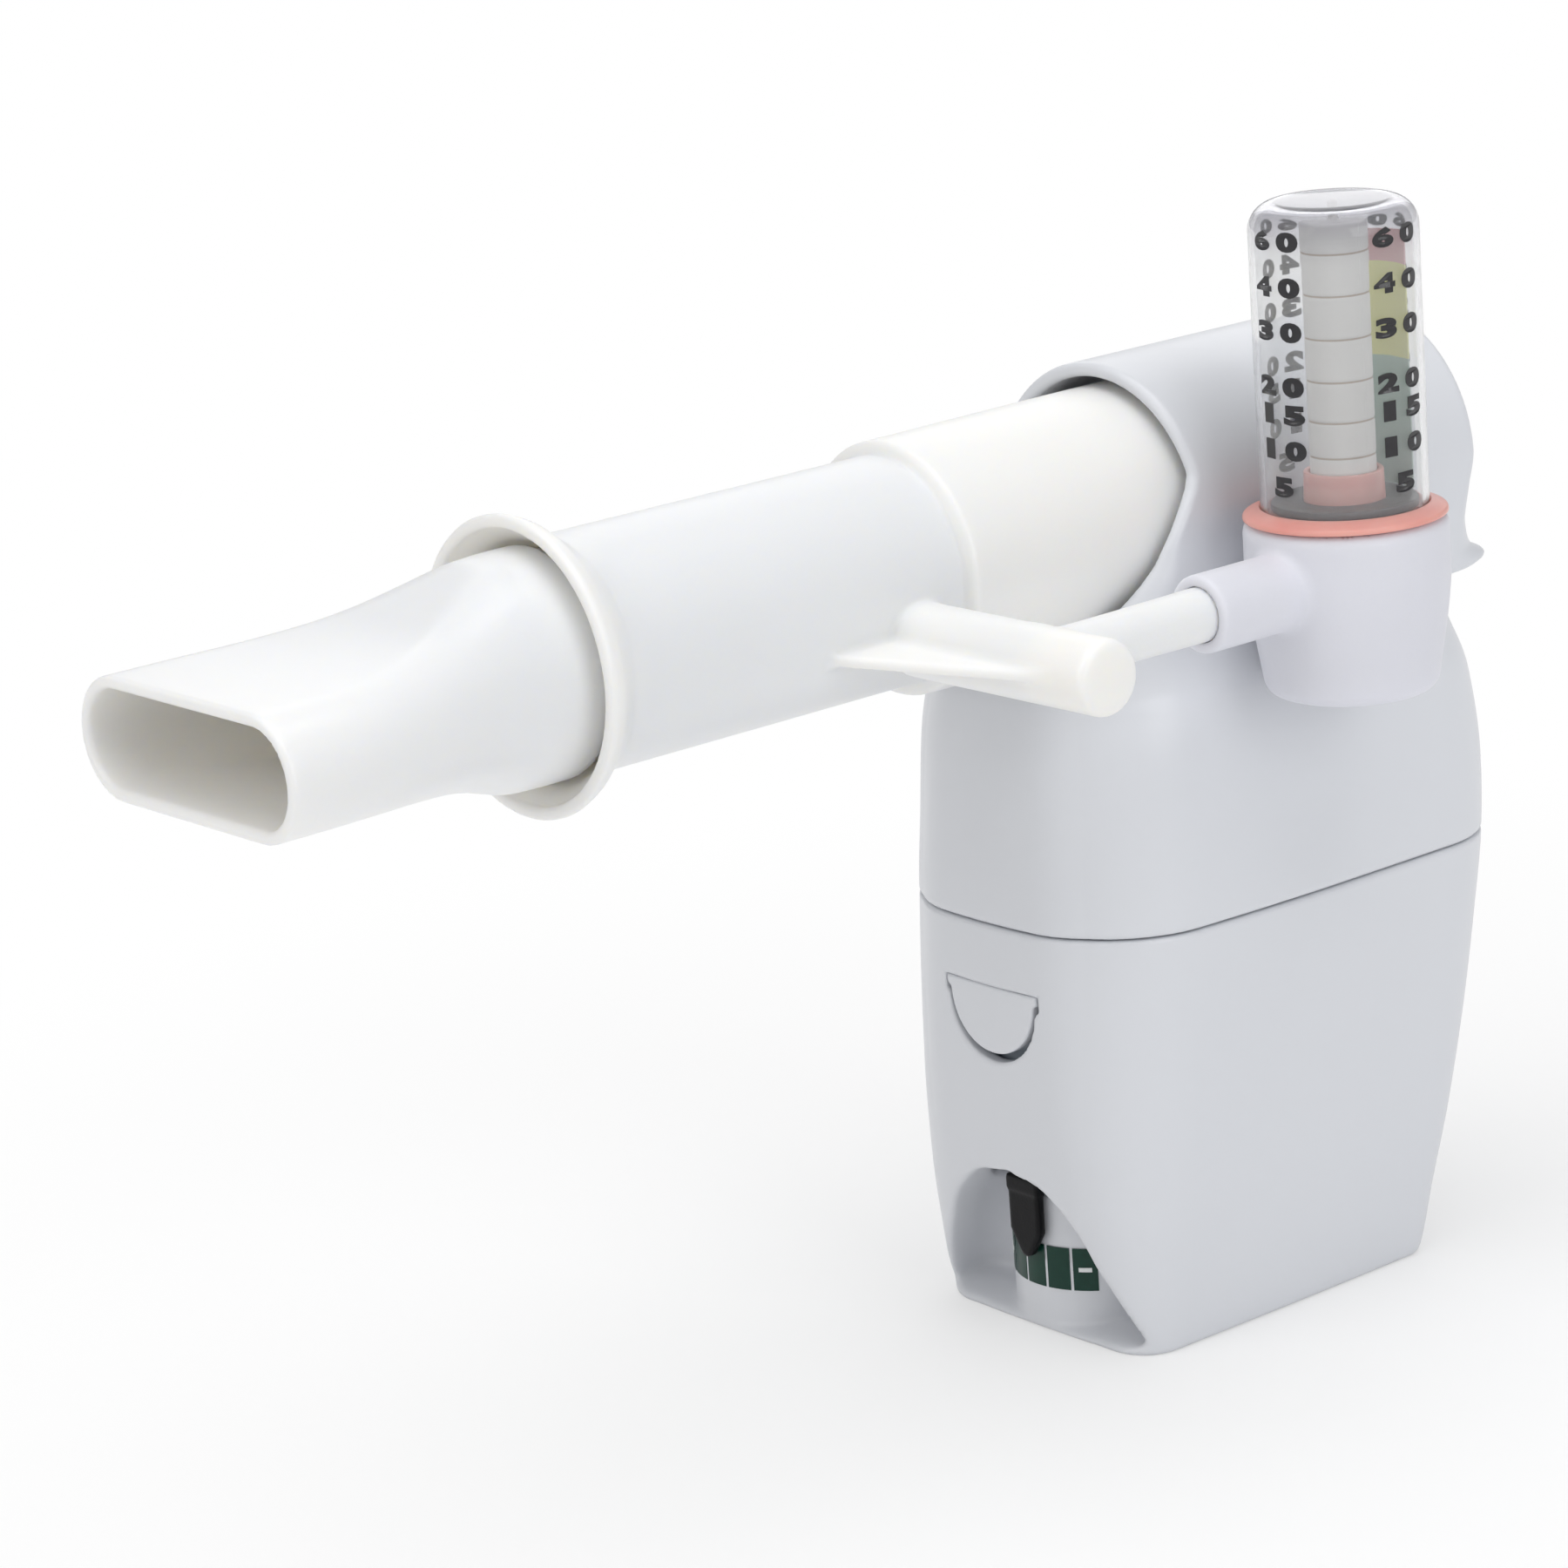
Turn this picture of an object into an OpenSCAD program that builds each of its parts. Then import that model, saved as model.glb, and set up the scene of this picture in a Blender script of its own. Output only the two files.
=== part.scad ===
// Positive expiratory pressure trainer: a two part case that holds an oscillating valve,
// a round inlet barrel with a plug-in tube and a flattened mouthpiece, and a pressure gauge
// carried by a side arm of the tube. Millimetres, base on z = 0, mouthpiece towards +X,
// gauge towards +Y, origin at the middle of the base.

/* [Case] */
// Height of the seam between the two case halves
seam_z = 48.7; // [44:0.5:54]
// Front reach of the case at its widest level
case_front = 28.4; // [27:0.1:30]
// Rear reach of the case at its widest level
case_rear = 37.8; // [36:0.1:40]
// Reach of the widest case level past the side of the barrel
case_past = 4.4; // [3:0.1:6]
// Rounding of the upright corners at the widest level
corner_r = 12; // [9:0.5:13]
// Wall thickness of the case
wall = 1.8; // [1.4:0.1:2.2]

/* [Barrel] */
// Height of the tube axis above the base
tube_z = 90.9; // [89:0.1:95]
// Sideways place of the tube axis
tube_y = 0; // [-1:0.1:1]
// Thickness of the barrel around the recess that the tube enters
barrel_rim = 1.6; // [1.2:0.1:2.2]
// Room between the sleeve of the tube and the recess
sleeve_room = 1.4; // [1.2:0.1:2]
// Setback of the barrel's top behind the case front
barrel_setback = 20.4; // [18:0.1:22]
// Setback of the barrel's top before the case rear
barrel_short = 2.8; // [1:0.1:4]
// Reach of the rear lip past the case rear
lip_past = 2.4; // [1.5:0.1:3.5]

/* [Tube] */
// Radius of the 22 mm sockets, which sizes the tube, the barrel and the case
socket_r = 11.05; // [10.8:0.05:11.3]
// Outer radius of the plug-in tube over that of the sockets
tube_over = 1.35; // [1.2:0.05:1.7]
// Wall thickness of the tube
tube_wall = 1.2; // [1:0.1:1.4]
// Step from the tube up to the thicker sleeve at the case end
sleeve_step = 1.4; // [1:0.05:1.6]
// Place of the step between sleeve and tube
sleeve_x = 38.5; // [36:0.1:43]
// Front end of the tube
tube_front = 88.3; // [82:0.1:96]
// Reach of the flared lip past the tube
lip_flare = 3.3; // [2.5:0.1:4]

/* [Mouthpiece] */
// Front end of the mouthpiece
mouth_front = 128; // [120:0.1:136]
// Half width of the flattened mouth end
mouth_half_w = 18.4; // [16:0.2:20]
// Half height of the flattened mouth end
mouth_half_h = 6.4; // [5.8:0.1:7]
// Step from the tube down to the round end of the mouthpiece
mouth_step = 0.3; // [0.1:0.05:0.6]
// Drop of the mouth end below the tube axis
mouth_drop = 0.3; // [0:0.1:1]
// Wall thickness of the mouthpiece
mouth_wall = 1.3; // [1:0.1:1.5]

/* [Side arm] */
// Place of the arm along the tube
arm_x = 45; // [43:0.1:48]
// Radius of the arm
arm_r = 4; // [3.6:0.1:4.4]
// Reach of the arm past the stem
arm_past = 11.4; // [10:0.2:13]
// Drop of the arm below the tube axis
arm_drop = 4.5; // [3.5:0.1:5.5]
// Radius of the stem that carries the gauge
stem_r = 2.95; // [2.6:0.05:3.2]

/* [Gauge] */
// Place of the gauge axis along the tube
gauge_x = -0.8; // [-3:0.1:2]
// Radius of the cup
cup_r = 11; // [10.6:0.05:11.2]
// Gap between the cup and the barrel
cup_gap = 1.4; // [1:0.1:2]
// Taper of the cup down to its foot
cup_taper = 1.8; // [1.4:0.1:2.4]
// Height of the cup
cup_h = 19.2; // [18:0.2:20.5]
// Brim of the cup above its socket collar
cup_brim = 2.2; // [0.8:0.1:2.6]
// Step in from the cup to the clear dome
dome_step = 2; // [1.8:0.05:2.4]
// Height of the clear dome
dome_h = 33.2; // [32:0.2:35]
// Radius of the guide column
column_r = 3.6; // [3.4:0.05:3.8]
// Part of the dome's height that the indicator can't use
ring_room = 8.2; // [7.4:0.2:13]

/* [Window and lever] */
// Height of the arched window
arch_h = 19.6; // [18:0.2:21]
// Half width of the arched window
arch_half_w = 16; // [14:0.1:16.2]
// Setback of the drum axis, the valve shaft axis, behind the case front
drum_setback = 14.2; // [14.2:0.1:15]
// Setback of the drum wall behind the case front
drum_room = 4.6; // [4.4:0.1:5.2]
// Foot of the colour band on the drum
band_z = 5.1; // [4.5:0.1:5.5]
// Height of the colour band
band_h = 5.2; // [5:0.1:6]

/* [Finger tabs] */
// Half width of a finger tab
tab_half_w = 7.2; // [6:0.1:7.6]
// Drop of the tab hinge below the seam
tab_drop = 7.1; // [6.5:0.1:8.5]

/* [Hidden] */
$fn = 96;

// Radii that follow from the sockets
tube_r = socket_r + tube_over;
sleeve_r = tube_r + sleeve_step;
recess_r = sleeve_r + sleeve_room;
barrel_r = recess_r + barrel_rim;
case_half_w = barrel_r + case_past;
lip_r = tube_r + lip_flare;
mouth_root_r = tube_r - mouth_step;
stem_reach = barrel_r + cup_gap + cup_r;
arm_reach = stem_reach + arm_past;
cup_foot_r = cup_r - cup_taper;
dome_r = cup_r - dome_step;

// Places that follow from the case and the tube
shoulder_rise = 0.9;
shoulder_z = tube_z - barrel_r + shoulder_rise;
barrel_front = case_front - barrel_setback;
barrel_rear = case_rear - barrel_short;
barrel_out_rear = -case_rear - lip_past;
drum_x = case_front - drum_setback;
drum_r = drum_setback - drum_room;
tab_z = seam_z - tab_drop;
ring_travel = dome_h - ring_room;

// Overrun of every cut
over = 1;
// Thickness of the slices that shape the case
slice = 0.02;
// Clearance between parts that stay put
seat_gap = 0.3;
// Radial clearance of a running fit
run_gap = 0.05;

// Levels of the case: share of seam height, then shares of front, rear, half width and corner
lower_shares = [
    [0, 0.852, 0.566, 0.825, 0.24],
    [0.025, 0.867, 0.587, 0.838, 0.29],
    [0.17, 0.92, 0.664, 0.888, 0.5],
    [0.36, 0.965, 0.759, 0.938, 0.7],
    [0.6, 0.992, 0.86, 0.972, 0.86],
    [0.8, 0.998, 0.926, 0.99, 0.95],
    [1, 0.988, 0.98, 1, 1]
];
// The same above the seam, with the share of the way up to the shoulder
upper_shares = [
    [0, 0.988, 0.98, 1, 1],
    [0.35, 0.965, 0.995, 0.988, 1],
    [0.7, 0.94, 0.968, 0.97, 1],
    [0.93, 0.915, 0.915, 0.93, 1],
    [1, 0.88, 0.886, 0.89, 1]
];
// Bulge of the narrow faces, and of the wide faces towards the front
face_bulge = 1;
side_bulge = 0.8;
// Places of the wide face bulge as shares of the case length
bulge_share = 0.6;
bulge_mid_share = 0.38;
// Least rounding of an upright corner, and how much rounder than the rear ones the front ones are
least_corner_r = 1.2;
front_round_share = 0.25;
// Points on each corner of a level
corner_steps = 7;

// Outline of the case at one level, drawn in by inset
function level_outline(s, inset) =
    let (
        f = case_front * s[1] - inset,
        b = case_rear * s[2] - inset,
        w = case_half_w * s[3] - inset,
        c = max(corner_r * s[4] - inset * 0.6, least_corner_r),
        d = c + corner_r * (1 - s[4]) * front_round_share,
        g = face_bulge * s[4],
        h = side_bulge * s[4],
        far_x = f - (f + b) * bulge_share,
        mid_x = f - (f + b) * bulge_mid_share
    )
    concat(
        [[f, 0], [f - g * 0.25, w * 0.35]],
        [for (i = [0 : corner_steps]) let (a = 90 * i / corner_steps)
            [f - g - d + d * cos(a), w - h - d + d * sin(a)]],
        [[mid_x, w - h * 0.3], [far_x, w]],
        [for (i = [0 : corner_steps]) let (a = 90 + 90 * i / corner_steps)
            [g - b + c + c * cos(a), w - c + c * sin(a)]],
        [[g * 0.25 - b, w * 0.35], [-b, 0], [g * 0.25 - b, -w * 0.35]],
        [for (i = [0 : corner_steps]) let (a = 180 + 90 * i / corner_steps)
            [g - b + c + c * cos(a), c - w + c * sin(a)]],
        [[far_x, -w], [mid_x, h * 0.3 - w]],
        [for (i = [0 : corner_steps]) let (a = 270 + 90 * i / corner_steps)
            [f - g - d + d * cos(a), d + h - w + d * sin(a)]],
        [[f - g * 0.25, -w * 0.35]]
    );

module level_slice(s, z, inset) {
    translate([0, 0, z]) linear_extrude(slice) polygon(level_outline(s, inset));
}

// Solid of the lower case shape from z0 up to the seam
module lower_form(inset, rise) {
    last = len(lower_shares) - 1;
    hull() for (i = [0 : last])
        level_slice(lower_shares[i],
            i == last ? seam_z - slice + rise : max(seam_z * lower_shares[i][0], 0), inset);
}

// Solid of the upper case shape: shoulders and barrel in one, and the lip at the rear
module upper_form(inset, sink) {
    last = len(upper_shares) - 1;
    hull() {
        for (i = [0 : last])
            level_slice(upper_shares[i],
                seam_z + (shoulder_z - seam_z) * upper_shares[i][0] - (i == 0 ? sink : inset), inset);
        translate([inset - shoulder_rear, tube_y, tube_z]) rotate([0, 90, 0])
            cylinder(r = barrel_r - inset, h = barrel_front + shoulder_rear - 2 * inset, $fn = 64);
        translate([inset - shoulder_rear, tube_y, collar_z]) rotate([0, 90, 0])
            cylinder(r = collar_r - inset, h = collar_front + shoulder_rear - 2 * inset, $fn = 48);
    }
    hull() {
        level_slice(lip_share, groove_z, inset);
        translate([barrel_out_rear + inset, tube_y, tube_z]) rotate([0, 90, 0])
            cylinder(r = barrel_r - inset, h = barrel_front - barrel_out_rear - 2 * inset, $fn = 64);
    }
}

module along_x(x, r, h) {
    translate([x, tube_y, tube_z]) rotate([0, 90, 0]) cylinder(r = r, h = h);
}

// Rear reach of the shoulders, and the level at the foot of the lip
shoulder_rear = case_rear * upper_shares[4][2];
lip_share = [1, 0.4, -barrel_out_rear / case_rear, 0.82, 1];
// The shoulder roll that carries the barrel at the front
collar_step = 4.8;
collar_r = barrel_r - collar_step;
collar_drop = 6;
collar_z = tube_z - collar_drop;
collar_setback = 3.1;
collar_front = case_front - collar_setback;
// The scoop that opens the barrel front: shares of its reach and of its height over the foot
scoop_shares = [
    [0, 1], [0.039, 0.93], [0.139, 0.82], [0.239, 0.7], [0.367, 0.567], [0.528, 0.437], [0.661, 0.349],
    [0.8, 0.233], [0.911, 0.116], [1, 0]
];
scoop_drop = 14;
scoop_rise = 6.5;
scoop_past = 0.7;
scoop_foot_z = tube_z - scoop_drop;
scoop_top_z = tube_z + scoop_rise;
scoop_span = collar_front + scoop_past - barrel_front;

// Region in front of the barrel rim, which runs out over the shoulder
module front_scoop() {
    far_x = case_front + 3 * over;
    translate([0, 2 * case_half_w, 0]) rotate([90, 0, 0]) linear_extrude(4 * case_half_w)
        polygon(concat(
            [for (p = scoop_shares)
                [barrel_front + scoop_span * p[0], scoop_foot_z + (scoop_top_z - scoop_foot_z) * p[1]]],
            [[far_x, scoop_foot_z], [far_x, tube_z + barrel_r + over],
             [barrel_front, tube_z + barrel_r + over]]
        ));
}

// Region behind the barrel rim, with the groove between lip and shoulder
lip_top_drop = 4;
lip_low_drop = 11;
groove_wall = 0.95;
lip_top_z = tube_z - lip_top_drop;
lip_low_z = tube_z - lip_low_drop;
groove_h = 3.2;
groove_z = tube_z - socket_r - groove_wall - groove_h / 2;
groove_depth = 11;
module rear_scoop() {
    steps = 10;
    span = -barrel_out_rear - barrel_rear;
    translate([0, 2 * case_half_w, 0]) rotate([90, 0, 0]) linear_extrude(4 * case_half_w)
        polygon(concat(
            [for (i = [0 : steps]) let (a = 90 * i / steps)
                [-barrel_rear - span * (1 - cos(a)),
                 lip_low_z + (lip_top_z - lip_low_z) * (1 - sin(a))]],
            [[barrel_out_rear - 3 * over, lip_low_z],
             [barrel_out_rear - 3 * over, tube_z + barrel_r + over],
             [-barrel_rear, tube_z + barrel_r + over]]
        ));
    translate([barrel_out_rear - over, -2 * case_half_w, groove_z - groove_h / 2])
        cube([groove_depth + over, 4 * case_half_w, groove_h]);
}

// Inlet bulkhead and chamber of the barrel
bulkhead_x = -10;
bulkhead_t = 8;
rear_wall_t = 8;
chamber_r = barrel_r - wall;
duct_r = 9;
module barrel_bores() {
    front = case_front + 2 * over;
    along_x(bulkhead_x + bulkhead_t, recess_r, front - bulkhead_x - bulkhead_t);
    along_x(bulkhead_x - over, socket_r, bulkhead_t + 2 * over);
    along_x(rear_wall_t - barrel_rear, chamber_r, bulkhead_x + barrel_rear - rear_wall_t);
    along_x(barrel_out_rear - over, socket_r, rear_wall_t + 3 * over - barrel_out_rear - barrel_rear);
}
// Well that joins the barrel chamber to the space below
well_x = (bulkhead_x + rear_wall_t - barrel_rear) / 2;

skirt_t = 1;
skirt_h = 3.6;
plate_t = 1.7;
gasket_t = 1;
gasket_w = 2.2;
frame_top_z = seam_z - skirt_h - gasket_t;
seam_share = upper_shares[0];
// Outline of the case at the foot of the skirt
skirt_level_share = 1 - skirt_h / (seam_z * (1 - lower_shares[5][0]));
skirt_share = seam_share * skirt_level_share + lower_shares[5] * (1 - skirt_level_share);
module upper_case() {
    color([0.93, 0.94, 0.95]) difference() {
        union() {
            difference() {
                upper_form(0, 0);
                difference() {
                    upper_form(wall, over);
                    // the barrel floor and the bulkheads stay
                    translate([0, 0, shoulder_z - wall]) linear_extrude(3 * barrel_r)
                        polygon(level_outline(seam_share, -over));
                }
            }
            translate([0, 0, seam_z - skirt_h]) linear_extrude(skirt_h + wall) difference() {
                polygon(level_outline(skirt_share, wall + seat_gap));
                polygon(level_outline(skirt_share, wall + seat_gap + skirt_t));
            }
            translate([0, 0, seam_z]) linear_extrude(wall) difference() {
                polygon(level_outline(seam_share, wall / 2));
                polygon(level_outline(skirt_share, wall + seat_gap + skirt_t));
            }
        }
        front_scoop();
        rear_scoop();
        barrel_bores();
        translate([well_x, tube_y, shoulder_z - 2 * wall]) cylinder(r = duct_r, h = tube_z - shoulder_z);
        tab_catches();
    }
}

// Shape of a finger tab seen from the front, grown by gap, its foot dropped by more
tab_leg = 1.2;
module tab_shape(gap, drop) {
    translate([0, tab_z - tab_leg - drop]) circle(r = tab_half_w - tab_leg / 2 + gap);
    translate([-tab_half_w - gap, tab_z - tab_leg - drop]) square([2 * (tab_half_w + gap), tab_leg + drop]);
}
tab_slot = 0.35;
tab_foot_gap = 0.7;
module tab_prism(gap, drop) {
    for (s = [0, 1]) mirror([s, 0, 0]) translate([case_front / 2, 0, 0]) rotate([90, 0, 90])
        linear_extrude(case_rear) intersection() {
            tab_shape(gap, drop);
            translate([-case_half_w, 0]) square([2 * case_half_w, tab_z]);
        }
}
module tab_pair() {
    intersection() {
        difference() {
            lower_form(0, 0);
            lower_form(tab_wall, over);
        }
        tab_prism(0, 0);
    }
}
module front_tab() {
    color([0.9, 0.91, 0.93]) intersection() {
        tab_pair();
        translate([0, -case_half_w, 0]) cube([case_front, 2 * case_half_w, seam_z]);
    }
}
module rear_tab() {
    color([0.9, 0.91, 0.93]) intersection() {
        tab_pair();
        translate([-case_rear, -case_half_w, 0]) cube([case_rear, 2 * case_half_w, seam_z]);
    }
}
tab_wall = wall - seat_gap;
module tab_catches() {
    // notches in the skirt behind the tab hinges
    for (x = [case_front - wall - 3 * skirt_t, 3 * skirt_t + wall - case_rear])
        translate([x - skirt_t, -tab_half_w / 2, seam_z - skirt_h - over])
            cube([2 * skirt_t, tab_half_w, over + skirt_h / 3]);
}

// Arched window, a bell shape that stands on the base: shares of height and half width
arch_shares = [
    [0, 1], [0.158, 0.95], [0.337, 0.863], [0.444, 0.8], [0.54, 0.735], [0.653, 0.67], [0.75, 0.595],
    [0.862, 0.463], [0.893, 0.42], [0.949, 0.32], [0.98, 0.22], [1, 0.08]
];
pocket_ahead = 2.3;
pocket_x = drum_x + pocket_ahead;
pocket_wall = 1.2;
module bell(grow, foot_z) {
    polygon(concat(
        [for (p = arch_shares) [arch_half_w * p[1] + grow, max(arch_h * p[0] + grow, foot_z)]],
        [for (i = [len(arch_shares) - 1 : -1 : 0]) let (p = arch_shares[i])
            [-arch_half_w * p[1] - grow, max(arch_h * p[0] + grow, foot_z)]]
    ));
}
module arch_prism(x, grow, foot_z) {
    translate([x, 0, 0]) rotate([90, 0, 90]) linear_extrude(2 * case_front - x) bell(grow, foot_z);
}
floor_t = 1.6;
drum_drop = 3.2;
drum_top_z = arch_h - drum_drop;
drum_wall = 1.4;
post_r = 3;
ledge_h = 1.2;
ledge_w = 1.6;
module ledge() {
    // shelf that carries the valve insert, broken behind the finger tabs
    translate([0, 0, frame_top_z - plate_t - ledge_h]) linear_extrude(ledge_h) difference() {
        polygon(level_outline(frame_share, wall / 2));
        polygon(level_outline(frame_share, wall + ledge_w));
        translate([-case_rear, -tab_half_w - ledge_w])
            square([case_rear + case_front, 2 * (tab_half_w + ledge_w)]);
    }
}
module lower_case() {
    color([0.93, 0.94, 0.95]) {
        difference() {
            lower_form(0, 0);
            difference() {
                lower_form(wall, over);
                translate([-case_rear, -case_half_w, -over])
                    cube([case_rear + case_front, 2 * case_half_w, floor_t + over]);
                // the pocket behind the window is closed off from the inside
                arch_prism(pocket_x - pocket_wall, pocket_wall, 0);
            }
            difference() {
                arch_prism(pocket_x, 0, floor_t);
                translate([drum_x, 0, 0]) cylinder(r = drum_r, h = drum_top_z);
            }
            // way for the lever arm through the back of the pocket, over the drum
            translate([drum_x, 0, drum_top_z]) cylinder(r = sweep_r, h = sweep_h);
            // room at the sides of the pocket for the pointer at both ends of its swing
            translate([drum_x, 0, pointer_z]) intersection() {
                difference() {
                    cylinder(r = sweep_r, h = drum_top_z - pointer_z + over);
                    translate([0, 0, -over]) cylinder(r = drum_r, h = drum_top_z - pointer_z + 3 * over);
                }
                translate([post_r, -swing_half_w, -over])
                    cube([sweep_r, 2 * swing_half_w, drum_top_z - pointer_z + 2 * over]);
            }
            translate([drum_x, 0, floor_t]) cylinder(r = drum_r - drum_wall, h = seam_z / 2);
            tab_prism(tab_slot, tab_foot_gap);
        }
        ledge();
        translate([drum_x, 0, floor_t / 2])
            cylinder(r = post_r, h = lever_z + lever_t - seat_gap - floor_t / 2);
    }
}

module case_gasket() {
    color([0.75, 0.78, 0.8]) translate([0, 0, frame_top_z]) linear_extrude(gasket_t) difference() {
        polygon(level_outline(skirt_share, wall + 2 * seat_gap));
        polygon(level_outline(skirt_share, wall + 2 * seat_gap + gasket_w));
    }
}

// The insert that carries the valve: a flange and a round tub below it
tub_gap = 1.6;
tub_r = drum_setback - wall - tub_gap;
tub_wall = 1.4;
tub_rise = 2.8;
tub_z = arch_h + tub_rise;
tub_floor = 1.6;
bush_r = 2.4;
bush_h = 2.6;
shaft_r = 1.2;
nozzle_gap = 0.1;
nozzle_room = 0.3;
nozzle_r = (tub_r - tub_wall - nozzle_gap - bush_r - nozzle_room) / 2;
nozzle_t = 1.2;
nozzle_reach = bush_r + nozzle_room + nozzle_r;
bridge_w = 6.4;
frame_share = lower_shares[5];
module valve_insert() {
    color([0.82, 0.86, 0.9]) difference() {
        union() {
            translate([0, 0, frame_top_z - plate_t]) linear_extrude(plate_t)
                polygon(level_outline(frame_share, wall + 2 * seat_gap));
            translate([drum_x, 0, tub_z]) cylinder(r = tub_r, h = frame_top_z - plate_t - tub_z);
        }
        translate([drum_x, 0, tub_z + tub_floor]) difference() {
            cylinder(r = tub_r - tub_wall, h = seam_z);
            translate([-tub_r, -bridge_w / 2, frame_top_z - tub_z - tub_floor - bush_h])
                cube([2 * tub_r, bridge_w, seam_z]);
        }
        translate([drum_x, 0, frame_top_z - bush_h - over]) cylinder(r = bush_r, h = bush_h + 2 * over);
        translate([drum_x, 0, tub_z - over]) cylinder(r = bush_r, h = tub_floor + 2 * over);
        translate([drum_x - nozzle_reach, 0, tub_z - over])
            cylinder(r = nozzle_r - wall / 2, h = tub_floor + 2 * over);
        // air way from the rear of the flange into the case
        translate([-case_rear / 2, 0, frame_top_z - plate_t - over])
            cylinder(r = duct_r, h = plate_t + 2 * over);
    }
}

module variable_nozzle() {
    lip = 2.4;
    slit_w = 1;
    color([0.55, 0.7, 0.85]) translate([drum_x - nozzle_reach, 0, tub_z + tub_floor]) difference() {
        cylinder(r = nozzle_r, h = nozzle_t);
        translate([-slit_w / 2, -nozzle_r + lip / 2, -over])
            cube([slit_w, 2 * nozzle_r - lip, nozzle_t + 2 * over]);
    }
}

module bushing(z, h) {
    color([0.85, 0.75, 0.4]) translate([drum_x, 0, z]) difference() {
        cylinder(r = bush_r, h = h);
        translate([0, 0, -over]) cylinder(r = shaft_r + run_gap, h = h + 2 * over);
    }
}
module lower_bushing() { bushing(tub_z, tub_floor); }
module upper_bushing() { bushing(frame_top_z - bush_h, bush_h); }

shaft_rise = 4;
shaft_top_z = frame_top_z + shaft_rise;
module valve_shaft() {
    color([0.75, 0.77, 0.8]) translate([drum_x, 0, tub_z + run_gap])
        cylinder(r = shaft_r, h = shaft_top_z - tub_z - run_gap);
}

vane_gap = 1.2;
vane_z = tub_z + tub_floor + nozzle_t + vane_gap;
vane_top_z = frame_top_z - bush_h - vane_gap;
vane_t = 1.2;
vane_reach = tub_r - tub_wall - vane_gap;
module valve_vane() {
    hub_r = 2.2;
    color([0.88, 0.9, 0.93]) translate([drum_x, 0, vane_z]) difference() {
        union() {
            cylinder(r = hub_r, h = vane_top_z - vane_z);
            translate([-vane_reach, -vane_t / 2, 0]) cube([2 * vane_reach, vane_t, vane_top_z - vane_z]);
        }
        translate([0, 0, -over]) cylinder(r = shaft_r, h = vane_top_z - vane_z + 2 * over);
    }
}

disc_z = frame_top_z + vane_gap;
disc_t = 1.4;
disc_r = tub_r - tub_wall - vane_gap;
module restrictor_disc() {
    cut_w = disc_r * 0.62;
    color([0.86, 0.89, 0.93]) translate([drum_x, 0, disc_z]) difference() {
        cylinder(r = disc_r, h = disc_t);
        for (s = [-1, 1]) translate([s * (disc_r * 0.3 + cut_w / 2) - cut_w / 2, -disc_r, -over])
            translate([s * over, 0, 0]) cube([cut_w, 2 * disc_r, disc_t + 2 * over]);
        translate([0, 0, -over]) cylinder(r = shaft_r, h = disc_t + 2 * over);
    }
}

lever_z = drum_top_z + seat_gap;
lever_t = 1.7;
lever_w = 4.8;
lever_tip_w = 1.6;
lever_hub_r = 5.2;
lever_out = drum_r + seat_gap;
pointer_t = 1.2;
pointer_z = band_z + band_h * 0.72;
sweep_r = lever_out + pointer_t + seat_gap;
sweep_h = 2 * seat_gap + lever_t;
swing_half_w = 9.2;
module adjust_lever() {
    color([0.06, 0.06, 0.07]) translate([drum_x, 0, 0]) {
        translate([0, 0, lever_z]) difference() {
            union() {
                cylinder(r = lever_hub_r, h = lever_t);
                translate([0, -lever_w / 2, 0]) cube([lever_out + pointer_t, lever_w, lever_t]);
            }
            translate([0, 0, -over]) cylinder(r = post_r + run_gap, h = lever_t + 2 * over);
        }
        // the pointer that hangs in front of the drum
        translate([lever_out, 0, 0]) rotate([90, 0, 90]) linear_extrude(pointer_t) polygon([
            [-lever_w / 2, lever_z + lever_t / 2], [lever_w / 2, lever_z + lever_t / 2],
            [lever_w / 2, pointer_z + lever_w * 0.7], [lever_tip_w / 2, pointer_z],
            [-lever_tip_w / 2, pointer_z], [-lever_w / 2, pointer_z + lever_w * 0.7]
        ]);
    }
}

// Shutter that the lever turns under the nozzle
shutter_t = 1;
shutter_r = nozzle_reach + nozzle_r + seat_gap;
shutter_z = tub_z - seat_gap - shutter_t;
module shutter_disc() {
    stem_r = post_r + wall;
    color([0.25, 0.28, 0.3]) translate([drum_x, 0, 0]) difference() {
        union() {
            translate([0, 0, lever_z + lever_t])
                cylinder(r = stem_r, h = shutter_z + shutter_t - lever_z - lever_t);
            translate([0, 0, shutter_z]) cylinder(r = shutter_r, h = shutter_t);
        }
        translate([0, 0, lever_z - over]) cylinder(r = bush_r + seat_gap, h = seam_z);
        for (a = [-24, 0, 24]) rotate([0, 0, a]) translate([-nozzle_reach, 0, shutter_z - over])
            cylinder(r = nozzle_r * (a < 0 ? 0.3 : a > 0 ? 0.62 : 0.46), h = shutter_t + 2 * over);
    }
}

band_t = 0.25;
band_half_a = 47.5;
module scale_band() {
    color([0, 0.3, 0.2]) translate([drum_x, 0, band_z]) rotate([0, 0, -band_half_a])
        rotate_extrude(angle = 2 * band_half_a) translate([drum_r, 0]) square([band_t, band_h]);
}

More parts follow.
